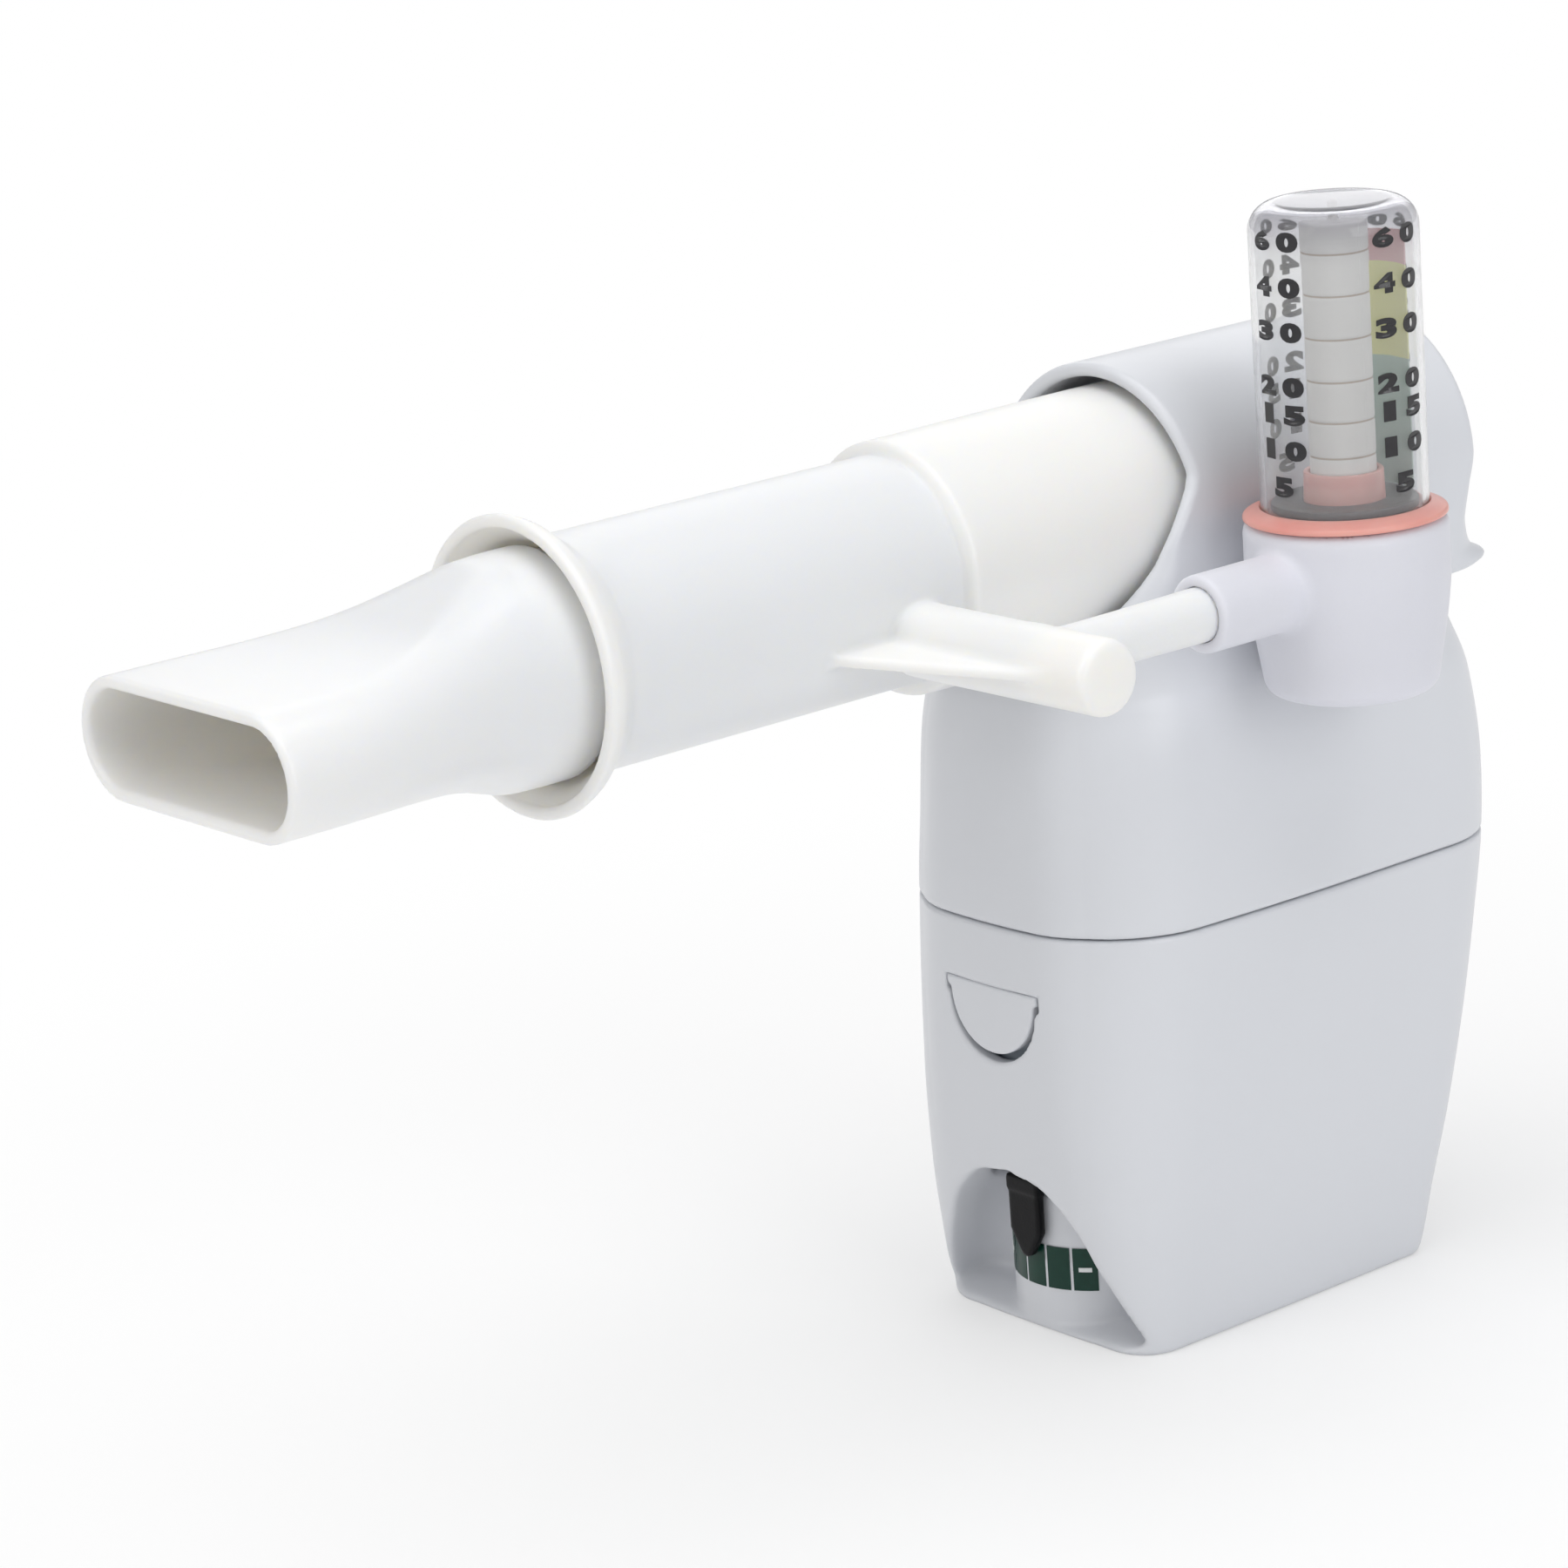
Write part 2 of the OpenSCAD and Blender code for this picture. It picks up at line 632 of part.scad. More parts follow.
// Plug-in tube, turned about its axis; the side arm and its web join it
spigot_r = socket_r - run_gap;
spigot_past = 1;
spigot_x = bulkhead_x - spigot_past;
bore_r = tube_r - tube_wall;
spigot_front = bulkhead_x + bulkhead_t + seat_gap;
lip_len = 7.6;
lip_t = 1.2;
sleeve_draft = 0.25;
arm_bore_r = 2.2;
stem_bore_r = 1.5;
stem_y = tube_y + stem_reach;
stem_z = tube_z - arm_drop;
stem_short = 2;
stem_end_x = gauge_x + cup_r + stem_short;
web_t = 1.2;
web_root = 12.1;
module tube_profile() {
    polygon([
        [spigot_r - tube_wall, spigot_x], [spigot_r, spigot_x], [spigot_r, spigot_front],
        [sleeve_r + sleeve_draft, spigot_front], [sleeve_r, sleeve_x - tube_wall * 0.3],
        [tube_r, sleeve_x + tube_wall * 0.3], [tube_r, tube_front - lip_len],
        [tube_r + lip_flare * 0.12, tube_front - lip_len * 0.72],
        [tube_r + lip_flare * 0.5, tube_front - lip_len * 0.46],
        [tube_r + lip_flare * 0.88, tube_front - lip_len * 0.25],
        [lip_r, tube_front - lip_t * 0.7], [lip_r - lip_t / 4, tube_front],
        [lip_r - lip_t, tube_front], [bore_r + lip_t * 1.6, tube_front - lip_len * 0.4],
        [bore_r, tube_front - lip_len], [bore_r, sleeve_x],
        [spigot_r - tube_wall, sleeve_x - lip_len]
    ]);
}
module inlet_adapter() {
    color([0.96, 0.95, 0.93]) difference() {
        union() {
            translate([0, tube_y, tube_z]) rotate([0, 90, 0]) rotate_extrude() tube_profile();
            translate([arm_x, tube_y, stem_z]) rotate([-90, 0, 0]) difference() {
                cylinder(r = arm_r, h = arm_reach);
                translate([0, 0, -over]) cylinder(r = arm_bore_r, h = stem_reach + arm_bore_r + over);
            }
            translate([stem_end_x, stem_y, stem_z]) rotate([0, 90, 0]) difference() {
                cylinder(r = stem_r, h = arm_x - stem_end_x - arm_bore_r / 2);
                translate([0, 0, -over]) cylinder(r = stem_bore_r, h = arm_x + over - stem_end_x);
            }
            translate([arm_x, tube_y + tube_r - tube_wall, stem_z - web_t / 2]) linear_extrude(web_t)
                polygon([
                    [0, 0], [web_root, 0], [arm_r * 0.6, arm_reach - tube_r - arm_r],
                    [0, arm_reach - tube_r - arm_r]
                ]);
        }
        along_x(sleeve_x, bore_r, tube_front - lip_len - sleeve_x);
        translate([arm_x, stem_y, stem_z]) rotate([90, 0, 0]) cylinder(r = arm_bore_r, h = stem_reach);
        translate([arm_x - arm_r - over, stem_y, stem_z]) rotate([0, 90, 0])
            cylinder(r = stem_bore_r, h = arm_r + over);
    }
}

mouth_spigot_r = bore_r - run_gap;
mouth_spigot_len = 14.9;
mouth_spigot_x = tube_front - lip_len - mouth_spigot_len;
// Shape of the mouthpiece: shares of its length, then of the way from round to flat in height and width
mouth_shares = [[0.1, 0.02, 0.02], [0.33, 0.6, 0.33], [0.58, 0.92, 0.77], [0.8, 1, 0.97], [1, 1, 1]];
mouth_slice = 0.02;
module stadium(x, drop, half_w, half_h) {
    round_r = min(half_w, half_h);
    translate([x, tube_y, tube_z - drop]) rotate([90, 0, 90]) linear_extrude(mouth_slice) hull() {
        for (s = [-1, 1]) translate([s * (half_w - round_r), 0]) circle(r = round_r, $fn = 48);
    }
}
module mouth_level(i, grow, past) {
    s = mouth_shares[i];
    last = len(mouth_shares) - 1;
    x = tube_front + (mouth_front - tube_front) * s[0];
    stadium(i == last ? x - mouth_slice + past : x, mouth_drop * s[1],
        mouth_root_r + (mouth_half_w - mouth_root_r) * s[2] + grow,
        mouth_root_r + (mouth_half_h - mouth_root_r) * s[1] + grow);
}
module mouth_form(grow, past) {
    hull() {
        along_x(tube_front - lip_len / 2, mouth_root_r + grow, lip_len / 2);
        mouth_level(0, grow, 0);
    }
    for (i = [1 : len(mouth_shares) - 1]) hull() {
        mouth_level(i - 1, grow, 0);
        mouth_level(i, grow, past);
    }
}
module mouthpiece() {
    color([0.97, 0.96, 0.94]) difference() {
        union() {
            mouth_form(0, 0);
            along_x(mouth_spigot_x, mouth_spigot_r, tube_front - mouth_spigot_x);
        }
        mouth_form(-mouth_wall, over);
        along_x(mouth_spigot_x - over, mouth_spigot_r - mouth_wall, tube_front + over - mouth_spigot_x);
    }
}

// Rear port: a grille behind the socket and a flap that opens inwards
grille_x = rear_wall_t - barrel_rear;
grille_t = 1.4;
grille_r = chamber_r - seat_gap;
grille_bar = 1.4;
grille_rim = 5.05;
hole_r = grille_r - grille_rim;
flap_hang_past = 0.15;
flap_hang = hole_r + flap_hang_past;
module port_grille() {
    color([0.86, 0.88, 0.9]) {
        difference() {
            along_x(grille_x, grille_r, grille_t);
            along_x(grille_x - over, hole_r, grille_t + 2 * over);
        }
        for (a = [0, 90]) translate([grille_x, tube_y, tube_z]) rotate([a, 0, 0])
            translate([0, -grille_bar / 2, -hole_r - grille_bar / 2])
                cube([grille_t, grille_bar, 2 * hole_r + grille_bar]);
        for (s = [-1, 1]) translate([grille_x + grille_t, tube_y + s * ear_y, tube_z + flap_hang])
            difference() {
                translate([0, -ear_t / 2, -ear_r]) cube([2 * ear_r, ear_t, 2 * ear_r]);
                translate([ear_r, ear_t, 0]) rotate([90, 0, 0]) cylinder(r = pin_r, h = 2 * ear_t);
            }
    }
}
ear_t = 1.2;
ear_r = 1.3;
ear_y = 4.4;
pin_r = 0.6;
flap_t = 0.8;
flap_gap = 0.15;
flap_past = 1;
flap_r = hole_r + flap_past;
knuckle_wall = 0.5;
module flap_pin() {
    color([0.7, 0.72, 0.75])
        translate([grille_x + grille_t + ear_r, tube_y + ear_y + ear_t / 2, tube_z + flap_hang])
            rotate([90, 0, 0]) cylinder(r = pin_r, h = 2 * ear_y + ear_t);
}
module inhalation_flap() {
    knuckle_r = pin_r + knuckle_wall;
    half_l = ear_y - ear_t / 2 - seat_gap;
    disc_top_z = tube_z + flap_hang - ear_r - seat_gap;
    color([0.62, 0.76, 0.88]) difference() {
        union() {
            difference() {
                along_x(grille_x + grille_t + flap_gap, flap_r, flap_t);
                translate([grille_x, tube_y - 2 * flap_r, disc_top_z])
                    cube([2 * grille_t + flap_t, 4 * flap_r, flap_r]);
            }
            translate([grille_x + grille_t + ear_r, tube_y + half_l, tube_z + flap_hang])
                rotate([90, 0, 0]) cylinder(r = knuckle_r, h = 2 * half_l);
            translate([grille_x + grille_t + flap_gap, tube_y - half_l, tube_z + flap_hang - 2 * knuckle_r])
                cube([flap_t, 2 * half_l, 2 * knuckle_r]);
        }
        translate([grille_x + grille_t + ear_r, tube_y + half_l + over, tube_z + flap_hang])
            rotate([90, 0, 0]) cylinder(r = pin_r + run_gap, h = 2 * half_l + 2 * over);
    }
}

// Pressure gauge on the stem
cup_wall = 1.2;
cup_floor = 1.6;
nipple_r = 4.2;
cup_top_z = stem_z + nipple_r + cup_brim;
cup_z = cup_top_z - cup_h;
cup_cone_h = cup_h * 0.64;
nipple_len = 12.7;
nipple_x = gauge_x + cup_r - cup_wall;
module at_gauge(z) { translate([gauge_x, stem_y, z]) children(); }
module gauge_cup() {
    foot_round = 1.6;
    color([0.85, 0.86, 0.93]) difference() {
        union() {
            at_gauge(cup_z) rotate_extrude() polygon([
                [0, 0], [cup_foot_r - foot_round, 0], [cup_foot_r - foot_round * 0.3, foot_round * 0.3],
                [cup_foot_r, foot_round], [cup_r, cup_cone_h], [cup_r, cup_h], [0, cup_h]
            ]);
            translate([nipple_x, stem_y, stem_z]) rotate([0, 90, 0]) cylinder(r = nipple_r, h = nipple_len);
        }
        at_gauge(cup_z) rotate_extrude() polygon([
            [0, cup_floor], [cup_foot_r - cup_wall - foot_round * 0.3, cup_floor],
            [cup_r - cup_wall, cup_cone_h], [cup_r - cup_wall, cup_h + over], [0, cup_h + over]
        ]);
        translate([gauge_x, stem_y, stem_z]) rotate([0, 90, 0])
            cylinder(r = stem_bore_r, h = cup_r + nipple_len);
        translate([stem_end_x - run_gap, stem_y, stem_z]) rotate([0, 90, 0])
            cylinder(r = stem_r + run_gap, h = cup_r + nipple_len);
    }
}

membrane_t = 0.7;
bead_h = 1.4;
module gauge_diaphragm() {
    color([0.85, 0.3, 0.27]) at_gauge(cup_top_z) rotate_extrude() polygon([
        [0, 0], [cup_r, 0], [cup_r - bead_h * 0.2, bead_h], [dome_r + run_gap, bead_h],
        [dome_r + run_gap, membrane_t], [0, membrane_t]
    ]);
}

dome_wall = 0.7;
dome_round = 3;
dome_z = cup_top_z + membrane_t;
module dome_profile(grow) {
    r = dome_r - grow;
    c = dome_round - grow;
    polygon(concat([[0, 0], [r, 0]],
        [for (i = [0 : 8]) let (a = 90 * i / 8) [r - c + c * cos(a), dome_h - grow - c + c * sin(a)]],
        [[0, dome_h - grow]]));
}
module gauge_dome() {
    color([0.85, 0.88, 0.92, 0.35]) at_gauge(dome_z) difference() {
        rotate_extrude() dome_profile(0);
        translate([0, 0, -over]) cylinder(r = dome_r - dome_wall, h = 2 * over);
        rotate_extrude() dome_profile(dome_wall);
    }
}

plunger_t = 1;
foot_gap = 0.1;
foot_z = dome_z + foot_gap;
column_top_z = dome_z + dome_h - dome_wall;
column_bore_r = 2.3;
spring_r = 2.1;
spring_wall = 0.5;
slot_a = 136;
slot_w = 1.2;
slot_h = ring_travel + plunger_t + foot_gap;
module guide_column() {
    color([0.93, 0.92, 0.86]) at_gauge(foot_z) difference() {
        cylinder(r = column_r, h = column_top_z - foot_z);
        translate([0, 0, -over])
            cylinder(r = column_bore_r, h = column_top_z - foot_z - 2 * dome_wall + over);
        rotate([0, 0, slot_a]) translate([-2 * column_r, -slot_w / 2, -over])
            cube([4 * column_r, slot_w, slot_h + over]);
    }
}
// Cross bar and piston that carry the indicator through the slots of the column
module gauge_plunger() {
    bar_w = slot_w - 2 * foot_gap;
    color([0.9, 0.9, 0.88]) at_gauge(foot_z) {
        cylinder(r = column_bore_r - run_gap, h = plunger_t);
        rotate([0, 0, slot_a]) translate([-sleeve_in_r, -bar_w / 2, 0])
            cube([2 * sleeve_in_r, bar_w, plunger_t]);
    }
}
sleeve_wall = 0.7;
sleeve_h = 4.2;
sleeve_in_r = column_r + foot_gap;
module indicator_sleeve() {
    color([0.9, 0.45, 0.4]) at_gauge(foot_z) difference() {
        cylinder(r = sleeve_in_r + sleeve_wall, h = sleeve_h);
        translate([0, 0, -over]) cylinder(r = sleeve_in_r, h = sleeve_h + 2 * over);
    }
}
ring_h = 0.9;
ring_rise = 0.2;
strip_t = 0.2;
ring_gap = 0.22;
ring_r = dome_r - dome_wall - strip_t - ring_gap;
module indicator_ring() {
    color([0.08, 0.07, 0.08]) at_gauge(foot_z + ring_rise) difference() {
        cylinder(r = ring_r, h = ring_h);
        translate([0, 0, -over]) cylinder(r = sleeve_in_r + sleeve_wall, h = ring_h + 2 * over);
    }
}
module gauge_spring() {
    color([0.7, 0.72, 0.74]) at_gauge(foot_z + plunger_t) difference() {
        cylinder(r = spring_r, h = column_top_z - 2 * dome_wall - foot_z - plunger_t);
        translate([0, 0, -over]) cylinder(r = spring_r - spring_wall, h = dome_h);
    }
}
strip_half_a = 21;
strip_mid_a = 192;
strip_z = 2;
strip_under = 5.2;
strip_h = dome_h - strip_z - strip_under;
module colour_strip() {
    color([0.85, 0.8, 0.3]) at_gauge(dome_z + strip_z) rotate([0, 0, strip_mid_a - strip_half_a])
        rotate_extrude(angle = 2 * strip_half_a)
            translate([dome_r - dome_wall - strip_t, 0]) square([strip_t, strip_h]);
}

lower_case();
upper_case();
front_tab();
rear_tab();
case_gasket();
valve_insert();
variable_nozzle();
lower_bushing();
upper_bushing();
valve_shaft();
valve_vane();
restrictor_disc();
adjust_lever();
shutter_disc();
scale_band();
inlet_adapter();
mouthpiece();
port_grille();
inhalation_flap();
flap_pin();
gauge_cup();
gauge_dome();
gauge_diaphragm();
guide_column();
indicator_ring();
indicator_sleeve();
gauge_plunger();
gauge_spring();
colour_strip();
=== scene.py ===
"""Looks of a positive expiratory pressure trainer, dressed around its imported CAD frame.

Metres. Base on z = 0, mouthpiece towards +X, pressure gauge towards +Y.
"""

import itertools
import math

import bmesh
import bpy
import numpy as np
from mathutils import Matrix, Vector


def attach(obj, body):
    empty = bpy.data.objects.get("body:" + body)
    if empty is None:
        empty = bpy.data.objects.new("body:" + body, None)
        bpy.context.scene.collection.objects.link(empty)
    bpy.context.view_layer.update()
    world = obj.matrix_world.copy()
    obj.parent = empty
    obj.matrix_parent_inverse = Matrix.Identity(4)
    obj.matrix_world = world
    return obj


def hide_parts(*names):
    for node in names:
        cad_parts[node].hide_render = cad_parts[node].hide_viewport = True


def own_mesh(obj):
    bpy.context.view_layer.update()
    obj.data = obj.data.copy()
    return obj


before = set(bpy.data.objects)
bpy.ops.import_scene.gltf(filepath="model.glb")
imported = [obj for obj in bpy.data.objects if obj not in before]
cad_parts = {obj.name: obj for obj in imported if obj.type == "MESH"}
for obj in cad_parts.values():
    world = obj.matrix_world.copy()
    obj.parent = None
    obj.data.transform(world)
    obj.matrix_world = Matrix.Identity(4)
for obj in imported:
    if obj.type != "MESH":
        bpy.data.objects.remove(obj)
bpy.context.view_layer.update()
scene = bpy.context.scene
scene.view_settings.view_transform = "Standard"


# Studio: a pale table under a pale backdrop, and the camera at the photograph's angle.
# White panels light the object from above, from both sides and from behind, so that
# white plastic keeps its soft shading.

camera_at = Vector((0.3708, 0.3922, 0.2112))
camera_right = Vector((-0.7642, 0.6409, -0.0721)).normalized()
camera_back = Vector((0.604, 0.750, 0.268)).normalized()
camera_up = camera_back.cross(camera_right).normalized()
camera_right = camera_up.cross(camera_back).normalized()
camera_turn = Matrix((camera_right, camera_up, camera_back)).transposed().to_4x4()
lens = bpy.data.cameras.new("studio_camera")
lens.lens = 114.04
lens.sensor_width = 36
lens.clip_start = 0.01
lens.clip_end = 20
camera = bpy.data.objects.new("studio_camera", lens)
camera.matrix_world = Matrix.Translation(camera_at) @ camera_turn
scene.collection.objects.link(camera)
scene.camera = camera


class Value:
    """An output socket of a material. Arithmetic on it adds Math nodes."""

    def __init__(self, paint, socket):
        self.paint = paint
        self.socket = socket

    def math(self, operation, *terms):
        return self.paint.node("ShaderNodeMath", {"operation": operation}, dict(enumerate(terms)))

    def __add__(self, other):
        return self.math("ADD", self, other)

    def __sub__(self, other):
        return self.math("SUBTRACT", self, other)

    def __rsub__(self, other):
        return self.math("SUBTRACT", other, self)

    def __mul__(self, other):
        return self.math("MULTIPLY", self, other)

    def __lt__(self, other):
        return self.math("LESS_THAN", self, other)

    def __gt__(self, other):
        return self.math("GREATER_THAN", self, other)

    __radd__ = __add__
    __rmul__ = __mul__


class Paint:
    """A material, built node by node around one surface shader."""

    def __init__(self, name, colour=None, **constants):
        self.material = bpy.data.materials.new(name)
        self.material.use_nodes = True
        self.tree = self.material.node_tree
        self.shader = self.tree.nodes["Principled BSDF"]
        if colour:
            self.shader.inputs["Base Color"].default_value = (*colour, 1)
        for key, value in constants.items():
            self.shader.inputs[key.replace("_", " ")].default_value = value

    def node(self, kind, settings, inputs, output=0):
        made = self.tree.nodes.new(kind)
        for key, value in settings.items():
            setattr(made, key, value)
        for key, value in inputs.items():
            if isinstance(value, Value):
                self.tree.links.new(value.socket, made.inputs[key])
            else:
                made.inputs[key].default_value = value
        return Value(self, made.outputs[output])

    def feed(self, **values):
        for key, value in values.items():
            self.tree.links.new(value.socket, self.shader.inputs[key.replace("_", " ")])

    def place(self):
        return self.node("ShaderNodeTexCoord", {}, {}, "Object")

    def height(self):
        return self.node("ShaderNodeSeparateXYZ", {}, {0: self.place()}, 2)

    def noise(self, scale, detail=3.0, stretch=(1, 1, 1)):
        where = self.node("ShaderNodeMapping", {}, {"Vector": self.place(), "Scale": stretch})
        return self.node("ShaderNodeTexNoise", {}, {"Vector": where, "Scale": scale, "Detail": detail})

    def mix(self, amount, low, high):
        ends = [end if isinstance(end, Value) else (*end, 1) for end in (low, high)]
        return self.node("ShaderNodeMix", {"data_type": "RGBA"}, {0: amount, 6: ends[0], 7: ends[1]}, 2)

    def glow_through(self):
        """A milky body: light that falls on a thin wall comes out warm on its other side."""
        self.shader.inputs["Subsurface Weight"].default_value = 0.5
        self.shader.inputs["Subsurface Radius"].default_value = (0.0045, 0.0038, 0.0026)
        self.shader.inputs["Subsurface Scale"].default_value = 1.0

    def mottle(self, low, high, *noise):
        """A base colour that wanders between two close tones."""
        self.feed(Base_Color=self.mix(self.noise(*noise), low, high))

    def grain(self, distance, strength, *noise):
        """A fine unevenness of the surface."""
        bump = {"Height": self.noise(*noise), "Distance": distance, "Strength": strength}
        self.feed(Normal=self.node("ShaderNodeBump", {}, bump))


def put(name, mesh, paint, body=None, nodes=()):
    """A piece of the object: its mesh with one material, riding on a body in place of CAD nodes."""
    piece = bpy.data.objects.new(name, mesh)
    scene.collection.objects.link(piece)
    mesh.materials.clear()
    mesh.materials.append(paint.material)
    if body:
        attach(piece, body)
        if nodes:
            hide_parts(*nodes)
    return piece


sheet = Paint("studio_white", (0.9, 0.9, 0.9), Roughness=0.9)
ray_kinds = ("Is Camera Ray", "Is Glossy Ray", "Is Transmission Ray")
rays = [sheet.node("ShaderNodeLightPath", {}, {}, kind) for kind in ray_kinds]
seen = rays[0].math("MAXIMUM", rays[0].math("MAXIMUM", rays[0], rays[1]), rays[2])
glow = sheet.node("ShaderNodeEmission", {}, {"Color": (1, 1, 1, 1), "Strength": 1.0})
floor_place = sheet.node("ShaderNodeNewGeometry", {}, {}, "Position")
spread = sheet.node("ShaderNodeVectorMath", {"operation": "LENGTH"}, {0: floor_place}, 1)
fade = {"Value": spread, "From Min": 0.02, "From Max": 0.22, "To Min": 0.4}
whiter = sheet.node("ShaderNodeMapRange", {"interpolation_type": "SMOOTHSTEP"}, fade) * seen
plain = Value(sheet, sheet.shader.outputs[0])
floor_look = sheet.node("ShaderNodeMixShader", {}, {0: whiter, 1: plain, 2: glow})
sheet.tree.links.new(floor_look.socket, sheet.tree.nodes["Material Output"].inputs["Surface"])

floor_half = 3.0
floor_corners = [(a * floor_half, b * floor_half, 0) for a, b in ((-1, -1), (1, -1), (1, 1), (-1, 1))]
floor_mesh = bpy.data.meshes.new("studio_floor")
floor_mesh.from_pydata(floor_corners, [], [(0, 1, 2, 3)])
floor = put("studio_floor", floor_mesh, sheet)

world = bpy.data.worlds.new("studio_world")
scene.world = world
world.use_nodes = True
sky_tree = world.node_tree
sky = sky_tree.nodes["Background"]
sky.inputs["Color"].default_value = (0.98, 0.985, 1.0, 1)
sky.inputs["Strength"].default_value = 0.36
white = sky_tree.nodes.new("ShaderNodeBackground")
white.inputs["Color"].default_value = (1, 1, 1, 1)
white.inputs["Strength"].default_value = 1.0
path = sky_tree.nodes.new("ShaderNodeLightPath")
widest = sky_tree.nodes.new("ShaderNodeMath")
widest.operation = "MAXIMUM"
sky_tree.links.new(path.outputs["Is Camera Ray"], widest.inputs[0])
sky_tree.links.new(path.outputs["Is Transmission Ray"], widest.inputs[1])
choice = sky_tree.nodes.new("ShaderNodeMixShader")
sky_tree.links.new(widest.outputs[0], choice.inputs[0])
sky_tree.links.new(sky.outputs[0], choice.inputs[1])
sky_tree.links.new(white.outputs[0], choice.inputs[2])
sky_tree.links.new(choice.outputs[0], sky_tree.nodes["World Output"].inputs["Surface"])

middle = Vector((0.03, 0, 0.07))


def panel(name, at, side, power, colour=(1, 1, 1)):
    """A square area lamp that faces the middle of the object."""
    light = bpy.data.lights.new(name, "AREA")
    light.shape = "RECTANGLE"
    light.size = light.size_y = side
    light.energy = power
    light.color = colour
    lamp = bpy.data.objects.new(name, light)
    lamp.location = at
    lamp.rotation_euler = (middle - Vector(at)).to_track_quat("-Z", "Y").to_euler()
    scene.collection.objects.link(lamp)


panel("top_panel", (0.1, 0.1, 1.0), 1.0, 6.3)
panel("left_panel", (0.85, -0.1, 0.5), 0.7, 1.9, (1, 0.985, 0.96))
panel("right_panel", (0.05, 0.95, 0.42), 0.6, 2.65, (0.98, 0.99, 1))
panel("back_panel", (-0.7, -0.7, 0.6), 0.8, 1.8)


# Lower case: the deep half of the injection moulded white shell. The wide faces are
# bare, the narrow front has an arched window with a drum face behind it, and a shelf
# inside carries the valve insert.

mm = 0.001
tube_y, tube_z = 0.0, 90.9
seam_z, seam_gap = 48.7, 0.12
wall = 1.8


def curve(z, places, sizes):
    """A smooth line through the sizes, level beyond both ends."""
    p, s = np.array(places, float), np.array(sizes, float)
    step = np.diff(s) / np.diff(p)
    same = step[1:] * step[:-1] > 0
    inner = np.where(same, 2 * step[1:] * step[:-1] / np.where(same, step[1:] + step[:-1], 1), 0)
    slope = np.concatenate([step[:1], inner, step[-1:]])
    i = np.clip(np.searchsorted(p, z) - 1, 0, len(p) - 2)
    span = p[i + 1] - p[i]
    t = np.clip((z - p[i]) / span, 0, 1)
    return ((2 * t**3 - 3 * t**2 + 1) * s[i] + (t**3 - 2 * t**2 + t) * span * slope[i]
            + (3 * t**2 - 2 * t**3) * s[i + 1] + (t**3 - t**2) * span * slope[i + 1])


def both(a, b, soft=0.6):
    """Where two depths hold at once, with the edge between them rounded."""
    near = np.maximum(soft - np.abs(a - b), 0) / soft
    return np.maximum(a, b) + near * near * soft / 4


def either(a, b, soft=0.6):
    return -both(-a, -b, soft)


def without(a, b, soft=0.6):
    return both(a, -b, soft)


def tube_along(axis, x, y, z, centre, radius, start, end, soft=0.5):
    """Depth of a round bar along axis 0, 1 or 2, between two places on that axis."""
    p = (x, y, z)
    u, v = [i for i in range(3) if i != axis]
    round_ = np.hypot(p[u] - centre[u], p[v] - centre[v]) - radius
    return both(round_, both(start - p[axis], p[axis] - end, soft), soft)


def slab(x, y, z, low, high, soft=0.4):
    """Depth of a block between two corners."""
    deepest = None
    for p, a, b in zip((x, y, z), low, high):
        side = np.maximum(a - p, p - b)
        deepest = side if deepest is None else both(deepest, side, soft)
    return deepest


# each pair of lists: heights, then the reach, half width or corner radius there
foot_heights = [0, 1.2, 8.3, 17.5, 29.2, 39, 48.7]
front_levels = (
    foot_heights + [57.9, 67.1, 73.2, 75, 76.9, 78.2, 79.3, 81.7, 84, 85.9, 88.5, 91.3, 93.7, 96, 97.4, 110],
    [24.2, 24.6, 26.1, 27.4, 28.2, 28.3, 28.1, 27.4, 26.7, 25.9, 25.5, 25.3, 24.9, 24.2, 22.4, 19.9,
     17.5, 14.6, 12.3, 10.5, 8.7, 8.0, 8.0])
rear_levels = (
    foot_heights + [57.9, 67.1, 73.2, 74.6, 75.3, 75.9, 78.5, 79.1, 79.7, 80.4, 81.3, 82.8, 84.7, 87, 110],
    [21.4, 22.2, 25.1, 28.7, 32.5, 35.0, 37.0, 37.6, 36.6, 34.6, 33.7, 31.8, 29.3, 29.3, 38.6, 40.0,
     38.5, 37.1, 36.0, 35.2, 35.0, 35.0])
side_levels = (
    foot_heights + [57.9, 67.1, 73.2, 75, 80, 86, 91, 110],
    [17.5, 17.8, 18.8, 19.9, 20.6, 21.0, 21.2, 20.9, 20.5, 19.6, 19.0, 18.2, 17.4, 16.8, 16.8])
corner_levels = (
    foot_heights + [72, 76, 80, 84, 88, 92, 110],
    [2.9, 3.5, 6.0, 8.4, 10.3, 11.4, 12.0, 12.0, 10.8, 8, 5.2, 2.7, 0.9, 0.8])
swell_levels = ([0, 48.7, 80, 90], [0.28, 1, 1, 0])
barrel_r = 16.8
face_bulge, side_bulge = 1.0, 0.8
side_bulge_x, side_bulge_span, side_bulge_most = -9, 23, 1.5
flat_margin, least_flat = 8, 4
largest_corner, least_corner, corner_loss, front_round = 12, 0.6, 0.6, 0.25


